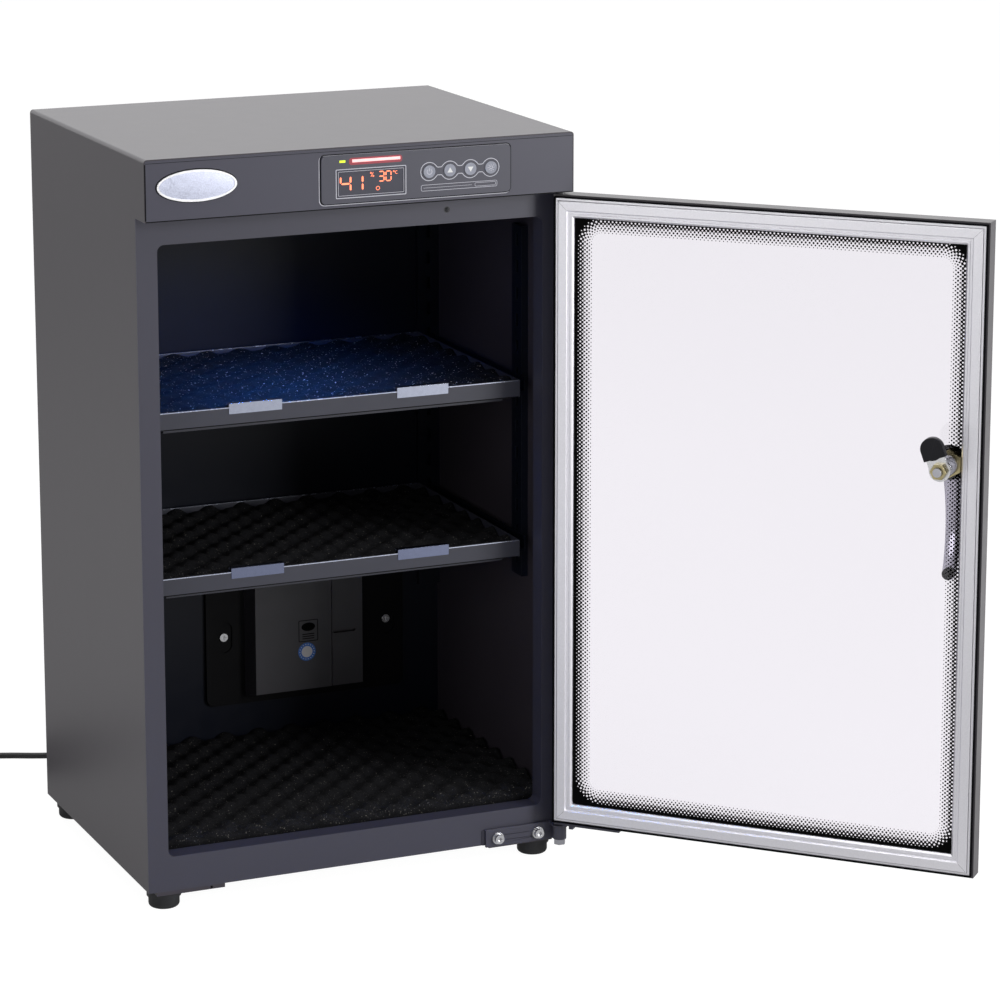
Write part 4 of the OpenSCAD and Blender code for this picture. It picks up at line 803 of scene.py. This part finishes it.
def make_unit_labels():
    """A bare printed label and a plain round sticker with a ring of dots."""
    label = front_sheet(UNIT_FACE, 0.1)
    label.stroke(rounded(*LABEL_BOX, 0.8, 4), 0.7, closed=True)
    label.shape(oval(*LABEL_OVAL, 32))
    for z in LABEL_LINES:
        label.stroke([(48.0, z), (60.2, z)], 0.9)
    label.make("unit_label", "ink", "case", "black_plastic")
    disc = front_sheet(UNIT_FACE, 0.12)
    disc.shape(arc(*STICKER_AT, STICKER_R, 0, 352.5, 47))
    disc.make("unit_sticker", "sticker", "case", "black_plastic")
    marks = front_sheet(UNIT_FACE - 0.12, 0.05)
    marks.shape(arc(*STICKER_AT, STICKER_CENTRE, 0, 352.5, 47))
    for x, z in oval(*STICKER_AT, STICKER_RING, STICKER_RING, STICKER_DOTS):
        marks.shape(arc(x, z, STICKER_DOT, 0, 300, 5))
    marks.make("unit_sticker_ring", "white", "case", "white_plastic")


make_unit_labels()

# Door details

# How far the photographed door is open, and its hinge line
DOOR_ANGLE = math.radians(134)
PIVOT = Vector((194.0, -164.0, 0.0))
TURN = Matrix.Rotation(DOOR_ANGLE, 3, "Z")
DOOR_U = TURN @ Vector((1, 0, 0))
DOOR_OUT = TURN @ Vector((0, -1, 0))
# The shut door: half its width and height, the height of its middle, the lock, the glass
DOOR_HALF, DOOR_HALF_H, DOOR_MID = 198.75, 292.5, 330.0
LOCK, GLASS_BACK = (-167.5, 410.0), 10.5
GLASS_OPENING = (-179.05, 179.05, 57.2, 602.8)


def open_place(x, v, z):
    """A point of the shut door, v before the front frame, where the open door has it."""
    return PIVOT + TURN @ (Vector((x, FRONT - v, z)) - PIVOT)


def door_sheet(v, thick):
    """A drawing plane on the door: X and Z as on the shut door, thickness towards the inside."""
    return Sheet(open_place(0, v, 0), DOOR_U, (0, 0, 1), -DOOR_OUT, thick)


# The black border printed on the glass, from its inner line outwards, in millimetres
BORDER_IN = {"left": 13.0, "right": 17.0, "top": 13.6, "bottom": 17.0}
BORDER_CORNER = 9.0
DOT_ROW = 2.05
DOT_STEP = 1.78
# The size of each row's dots or holes, as shares of half a cell
DOT_SHARES = (0.6, 0.92, 1.14, 1.06)
HOLE_SHARES = (0.86, 0.96, 0.5)
# How far out the solid black would go, and how far over the glass opening's edge it is cut
BLACK_FAR, BLACK_OVER = 26.0, 0.3
# The border's depth, a hair's breadth proud of the glass's inner face
BORDER_V = 6.49


def border_place(t, d, rim):
    """A point of the border: t runs round the rounded inner line, d is the distance outwards from it."""
    x0, x1, z0, z1 = rim
    r = BORDER_CORNER
    sides = (((x0 + r, z1), (x1 - r, z1), 90), ((x1, z1 - r), (x1, z0 + r), 0),
             ((x1 - r, z0), (x0 + r, z0), -90), ((x0, z0 + r), (x0, z1 - r), 180))
    part, rest = int(t) % 8, t - int(t)
    (ax, az), (bx, bz), face = sides[part // 2]
    a = math.radians(face)
    if part % 2 == 0:
        return (ax + (bx - ax) * rest + d * math.cos(a), az + (bz - az) * rest + d * math.sin(a))
    cx, cz = bx - r * math.cos(a), bz - r * math.sin(a)
    b = a - math.pi / 2 * rest
    return (cx + (r + d) * math.cos(b), cz + (r + d) * math.sin(b))


def border_stations(rim):
    """Even steps round the line, an even number on each side and corner."""
    x0, x1, z0, z1 = rim
    across, up = x1 - x0 - 2 * BORDER_CORNER, z1 - z0 - 2 * BORDER_CORNER
    bend = math.pi / 2 * (BORDER_CORNER + 3 * DOT_ROW)
    out = []
    for part, length in enumerate((across, bend, up, bend) * 2):
        n = 2 * round(length / DOT_STEP / 2)
        out += [part + k / n for k in range(n)]
    return out


def round_in(centre, edge, share):
    """Eight points of a round dot in a cell, level with the cell's own eight edge points."""
    half = min(math.dist(centre, edge[k]) for k in (1, 3, 5, 7))
    out = []
    for q in edge:
        f = half * share / math.dist(centre, q)
        out.append((centre[0] + (q[0] - centre[0]) * f, centre[1] + (q[1] - centre[1]) * f))
    return out


def border_cell(t0, t1, row, black, rim):
    """The black outlines in one cell of the border."""
    low, high = row * DOT_ROW, (row + 1) * DOT_ROW
    mid, level = (t0 + t1) / 2, (low + high) / 2
    around = ((t0, low), (mid, low), (t1, low), (t1, level),
              (t1, high), (mid, high), (t0, high), (t0, level))
    edge = [border_place(t, d, rim) for t, d in around]
    centre = border_place(mid, level, rim)
    if row < len(DOT_SHARES):
        return [round_in(centre, edge, DOT_SHARES[row])] if black else []
    if black:
        return [edge[::2]]
    hole = round_in(centre, edge, HOLE_SHARES[row - len(DOT_SHARES)])
    return [[edge[k], edge[(k + 1) % 8], hole[(k + 1) % 8], hole[k]] for k in range(8)]


def make_dots():
    """Rows of black dots that grow outwards, then rows of holes in black, then solid black."""
    x0, x1, z0, z1 = GLASS_OPENING
    rim = (x0 + BORDER_IN["left"], x1 - BORDER_IN["right"], z0 + BORDER_IN["bottom"], z1 - BORDER_IN["top"])
    stations = border_stations(rim)
    spans = list(zip(stations, stations[1:] + [8.0]))
    rows = len(DOT_SHARES) + len(HOLE_SHARES)
    outlines = []
    for i, (t0, t1) in enumerate(spans):
        for row in range(rows):
            outlines += border_cell(t0, t1, row, (i + row) % 2 == 0, rim)
    start = rows * DOT_ROW
    for t0, t1 in spans:
        around = ((t0, start), (t1, start), (t1, BLACK_FAR), (t0, BLACK_FAR))
        quad = [border_place(t, d, rim) for t, d in around]
        outlines.append([(min(x1 + BLACK_OVER, max(x0 - BLACK_OVER, a)),
                          min(z1 + BLACK_OVER, max(z0 - BLACK_OVER, b))) for a, b in quad])
    s = door_sheet(BORDER_V, 0.0)
    verts, faces = [], []
    for outline in outlines:
        faces.append(tuple(range(len(verts), len(verts) + len(outline))))
        verts += [s.at(*q) * MM for q in outline]
    mesh = bpy.data.meshes.new("glass_border")
    mesh.from_pydata(verts, [], faces)
    mesh.materials.append(MAT["ink"])
    obj = bpy.data.objects.new("glass_border", mesh)
    SCENE.collection.objects.link(obj)
    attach(obj, "door")


# Profiles of the door's metal trim and of its black seal: distance in from the door's edge, and depth.
TRIM_PROFILE = ((2.6, 6.4), (2.6, 3.3), (3.0, 2.9), (5.0, 2.9), (5.3, 1.9), (5.9, 1.4), (13.4, 1.4),
                (14.0, 1.9), (14.4, 3.2), (16.4, 3.2), (16.8, 2.7), (18.4, 2.7), (20.0, 4.2), (20.0, 6.4))
SEAL_PROFILE = ((1.5, 5.3), (1.5, 1.3), (1.8, 0.9), (2.2, 0.9), (2.5, 1.3), (2.5, 5.3))
# How wide their rounded edges are
RING_EDGE = 0.25
# The mitre lines: how far in they start and end, their depth, width and height
MITRE_ENDS, MITRE_V, MITRE_W, MITRE_T = (6.2, 13.2), 1.41, 0.2, 0.03
# The lock's flange behind the glass: radii of its hole and rim, thickness, air to the glass, facets
WASHER_IN, WASHER_R, WASHER_T, WASHER_AIR, WASHER_SIDES = 8.6, 15.5, 1.2, 0.1, 48


def door_ring(name, profile, look, stands_for):
    """A profile carried round the door with mitred corners."""
    verts, faces = [], []
    for sx, sz in ((-1, -1), (1, -1), (1, 1), (-1, 1)):
        for u, v in profile:
            verts.append(open_place(sx * (DOOR_HALF - u), v, DOOR_MID + sz * (DOOR_HALF_H - u)))
    n = len(profile)
    for c in range(4):
        d = (c + 1) % 4
        for k in range(n):
            m = (k + 1) % n
            faces.append((c * n + k, c * n + m, d * n + m, d * n + k))
    obj = piece(name, verts, faces, look, "door", stands_for=(stands_for,))
    edge = obj.modifiers.new("edges", "BEVEL")
    edge.width = RING_EDGE * MM
    edge.segments = 2
    edge.limit_method = "ANGLE"


def make_mitres():
    """The fine lines at the trim's four corners."""
    lines = door_sheet(MITRE_V, MITRE_T)
    for sx in (-1, 1):
        for sz in (-1, 1):
            ends = [(sx * (DOOR_HALF - u), DOOR_MID + sz * (DOOR_HALF_H - u)) for u in MITRE_ENDS]
            lines.stroke(ends, MITRE_W)
    lines.make("trim_mitres", "line", "door", "trim_aluminium")


def make_lock_washer():
    """The dark round flange of the lock, behind the glass."""
    near, far = GLASS_BACK + WASHER_AIR, GLASS_BACK + WASHER_AIR + WASHER_T
    section = ((WASHER_IN, near), (WASHER_R, near), (WASHER_R, far), (WASHER_IN, far))
    verts, faces = [], []
    for k in range(WASHER_SIDES):
        a = 2 * math.pi * k / WASHER_SIDES
        for r, v in section:
            verts.append(open_place(LOCK[0] + r * math.cos(a), v, LOCK[1] + r * math.sin(a)))
    for k in range(WASHER_SIDES):
        m = (k + 1) % WASHER_SIDES
        for q in range(4):
            w = (q + 1) % 4
            faces.append((4 * k + q, 4 * k + w, 4 * m + w, 4 * m + q))
    piece("lock_washer", verts, faces, "seal", "door")


# Lines on the trays and the head

# The trays' sheet, the faces of their front and back lips, the height of the lips
SKIN = 1.2
TRAY_FRONT, TRAY_BACK, LIP_H = -114.0, 126.0 - SKIN, 16.0
# The body of each tray and the top of its lips
TRAYS = (("tray_upper", 444.0), ("tray_lower", 294.0))
# The bright bluish strips on the lips' tops, painted highlights of their rounded edges, and the dark line at
# the front one's foot: name, look, plane, thickness, half length, place from the lip's top, width
TRAY_LINES = (
    ("edge", "painted_highlight_steel", TRAY_FRONT, 0.12, 175.0, -0.4, 0.8),
    ("lip_line", "groove", TRAY_FRONT, 0.06, 174.5, 0.5 - LIP_H, 0.9),
    ("back_lip_painted_highlight", "painted_highlight_steel", TRAY_BACK, 0.12, 174.5, -0.4, 0.8),
)
# Dark lines on the head: painted shadow along its foot, a line below its top edge, painted shadow round the
# badge, painted shade in the gap down its side
HEAD_LINES = (
    ("head_foot_painted_shadow", [(-199.0, HEAD_Z + 0.5), (199.0, HEAD_Z + 0.5)], 0.9),
    ("head_top_dark_line", [(-198.5, TOP_Z - 3.4), (198.5, TOP_Z - 3.4)], 0.4),
    ("badge_painted_shadow", oval(*BADGE_AT, *BADGE_SHADOW_HALF, 72), 1.3),
    ("head_side_line", [(-199.0, HEAD_Z + 1.5), (-199.0, TOP_Z - 4.0)], 1.2),
)


def make_tray_lines():
    """The thin lines along each tray's lips, riding with the tray."""
    for body, z in TRAYS:
        for name, look, y, thick, half, up, width in TRAY_LINES:
            s = front_sheet(y, thick)
            s.stroke([(-half, z + up), (half, z + up)], width)
            s.make(f"{name}_{body}", look, body, "tray_paint")


def make_head_lines():
    """The thin dark lines on the face of the head."""
    for name, points, width in HEAD_LINES:
        s = front_sheet(FACE, 0.06)
        s.stroke(points, width, closed=len(points) > 2)
        s.make(name, "groove", "case", "front_paint")


make_dots()
door_ring("trim_stepped", TRIM_PROFILE, "trim", "door_trim")
door_ring("seal_ring", SEAL_PROFILE, "seal", "door_gasket")
make_mitres()
make_lock_washer()
make_tray_lines()
make_head_lines()

# Floor, backdrop and light

# How bright the backdrop is to the eye, and the light that dull surfaces get from the room
SEEN, FILL = 0.97, 0.3
# The room in reflections: behind the cabinet, around it, overhead
ROOM_BACK, ROOM, ROOM_TOP = 1.55, 0.16, 0.7
# Where the room grows brighter, on directions mapped to 0 to 1
BEHIND_AT, OVERHEAD_AT = (0.35, 0.75), (0.45, 0.9)
FLOOR_HALF = 14.0
# The floor's own grey for light that falls on dull surfaces, and to the eye and in reflections
FLOOR_GREY, FLOOR_SEEN_GREY = 0.78, 0.13
# The floor in reflections, to the side and to the front: first and last brightness, and where they are reached
POOL_ASIDE = (0.4, 1.0, (0.2, 1.3))
POOL_AHEAD = (1.0, 0.42, (0.6, 3.0))
# Each softbox: name, place, where it points, size, watts
SOFTBOXES = (
    ("top_softbox", (0.1, -0.2, 2.8), (0.0, 0.0, 0.4), (2.4, 2.4), 42),
    ("right_softbox", (1.8, -2.6, 1.15), (0.1, -0.2, 0.55), (1.2, 1.6), 60),
    ("left_softbox", (-2.7, -2.0, 1.2), (0.3, -0.3, 0.35), (1.2, 1.2), 13),
)
# The blue lamp under the ceiling
CABINET_LAMP = ("cabinet_lamp", (-0.02, -0.09, 0.6), (-0.05, -0.05, 0.43), (0.12, 0.02), 0.6)
LAMP_BLUE = (0.03, 0.22, 1.0)
LAMP_SPREAD = math.radians(120)


def maths(tree, kind, a, b):
    """A sum, product or the like of two numbers or sockets."""
    n = tree.nodes.new("ShaderNodeMath")
    n.operation = kind
    for socket, value in zip(n.inputs, (a, b)):
        if isinstance(value, (int, float)):
            socket.default_value = value
        else:
            tree.links.new(value, socket)
    return n.outputs[0]


def light_path(tree, names):
    """One where the ray is of one of these kinds."""
    path = tree.nodes.new("ShaderNodeLightPath")
    last = path.outputs[names[0]]
    for name in names[1:]:
        last = maths(tree, "MAXIMUM", last, path.outputs[name])
    return last


def pale_floor():
    """A pale floor that is white to the eye; in reflections it is brightest beside the cabinet."""
    mesh = bpy.data.meshes.new("studio_floor")
    r = FLOOR_HALF
    mesh.from_pydata([(-r, -r, 0), (r, -r, 0), (r, r, 0), (-r, r, 0)], [], [(0, 1, 2, 3)])
    m, t, s = nodes_of("studio_floor")
    seen = light_path(t, ("Is Camera Ray", "Is Transmission Ray"))
    glossy = light_path(t, ("Is Glossy Ray",))
    coords = t.nodes.new("ShaderNodeTexCoord")
    parts = t.nodes.new("ShaderNodeSeparateXYZ")
    t.links.new(coords.outputs["Object"], parts.inputs["Vector"])
    aside = spread(t, maths(t, "ABSOLUTE", parts.outputs["X"], 0.0), *POOL_ASIDE)
    ahead = spread(t, maths(t, "ABSOLUTE", parts.outputs["Y"], 0.0), *POOL_AHEAD)
    pool = maths(t, "MULTIPLY", aside, ahead)
    both = maths(t, "MAXIMUM", maths(t, "MULTIPLY", seen, SEEN), maths(t, "MULTIPLY", glossy, pool))
    grey = spread(t, maths(t, "MAXIMUM", seen, glossy), FLOOR_GREY, FLOOR_SEEN_GREY, (0, 1))
    t.links.new(grey, s.inputs["Base Color"])
    s.inputs["Roughness"].default_value = 0.7
    s.inputs["Specular IOR Level"].default_value = 0.0
    s.inputs["Emission Color"].default_value = (1, 1, 1, 1)
    t.links.new(both, s.inputs["Emission Strength"])
    mesh.materials.append(m)
    obj = bpy.data.objects.new("studio_floor", mesh)
    SCENE.collection.objects.link(obj)


def studio_world():
    """White to the eye, even light for dull surfaces, and a room with a bright back for shiny ones."""
    world = bpy.data.worlds.new("studio")
    SCENE.world = world
    world.use_nodes = True
    t = world.node_tree
    back = t.nodes["Background"]
    back.inputs["Color"].default_value = (1, 1, 1, 1)
    coords = t.nodes.new("ShaderNodeTexCoord")
    parts = t.nodes.new("ShaderNodeSeparateXYZ")
    t.links.new(coords.outputs["Generated"], parts.inputs["Vector"])
    behind = spread(t, parts.outputs["Y"], ROOM, ROOM_BACK, BEHIND_AT)
    overhead = spread(t, parts.outputs["Z"], 0.0, ROOM_TOP, OVERHEAD_AT)
    room = maths(t, "MAXIMUM", behind, overhead)
    glossy = light_path(t, ("Is Glossy Ray",))
    seen = light_path(t, ("Is Camera Ray", "Is Transmission Ray"))
    dull = maths(t, "MULTIPLY", maths(t, "SUBTRACT", 1.0, glossy), FILL)
    mixed = maths(t, "ADD", dull, maths(t, "MULTIPLY", glossy, room))
    t.links.new(maths(t, "MAXIMUM", mixed, seen), back.inputs["Strength"])


def soft_lamp(name, at, target, size, power):
    """A rectangular lamp that points at a place."""
    data = bpy.data.lights.new(name, "AREA")
    data.shape = "RECTANGLE"
    data.size, data.size_y = size
    data.energy = power
    obj = bpy.data.objects.new(name, data)
    obj.location = at
    obj.rotation_mode = "QUATERNION"
    obj.rotation_quaternion = (Vector(target) - Vector(at)).to_track_quat("-Z", "Y")
    SCENE.collection.objects.link(obj)
    return data


pale_floor()
studio_world()
for softbox in SOFTBOXES:
    soft_lamp(*softbox)
lamp = soft_lamp(*CABINET_LAMP)
lamp.color = LAMP_BLUE
lamp.spread = LAMP_SPREAD
SCENE.view_settings.view_transform = "Standard"
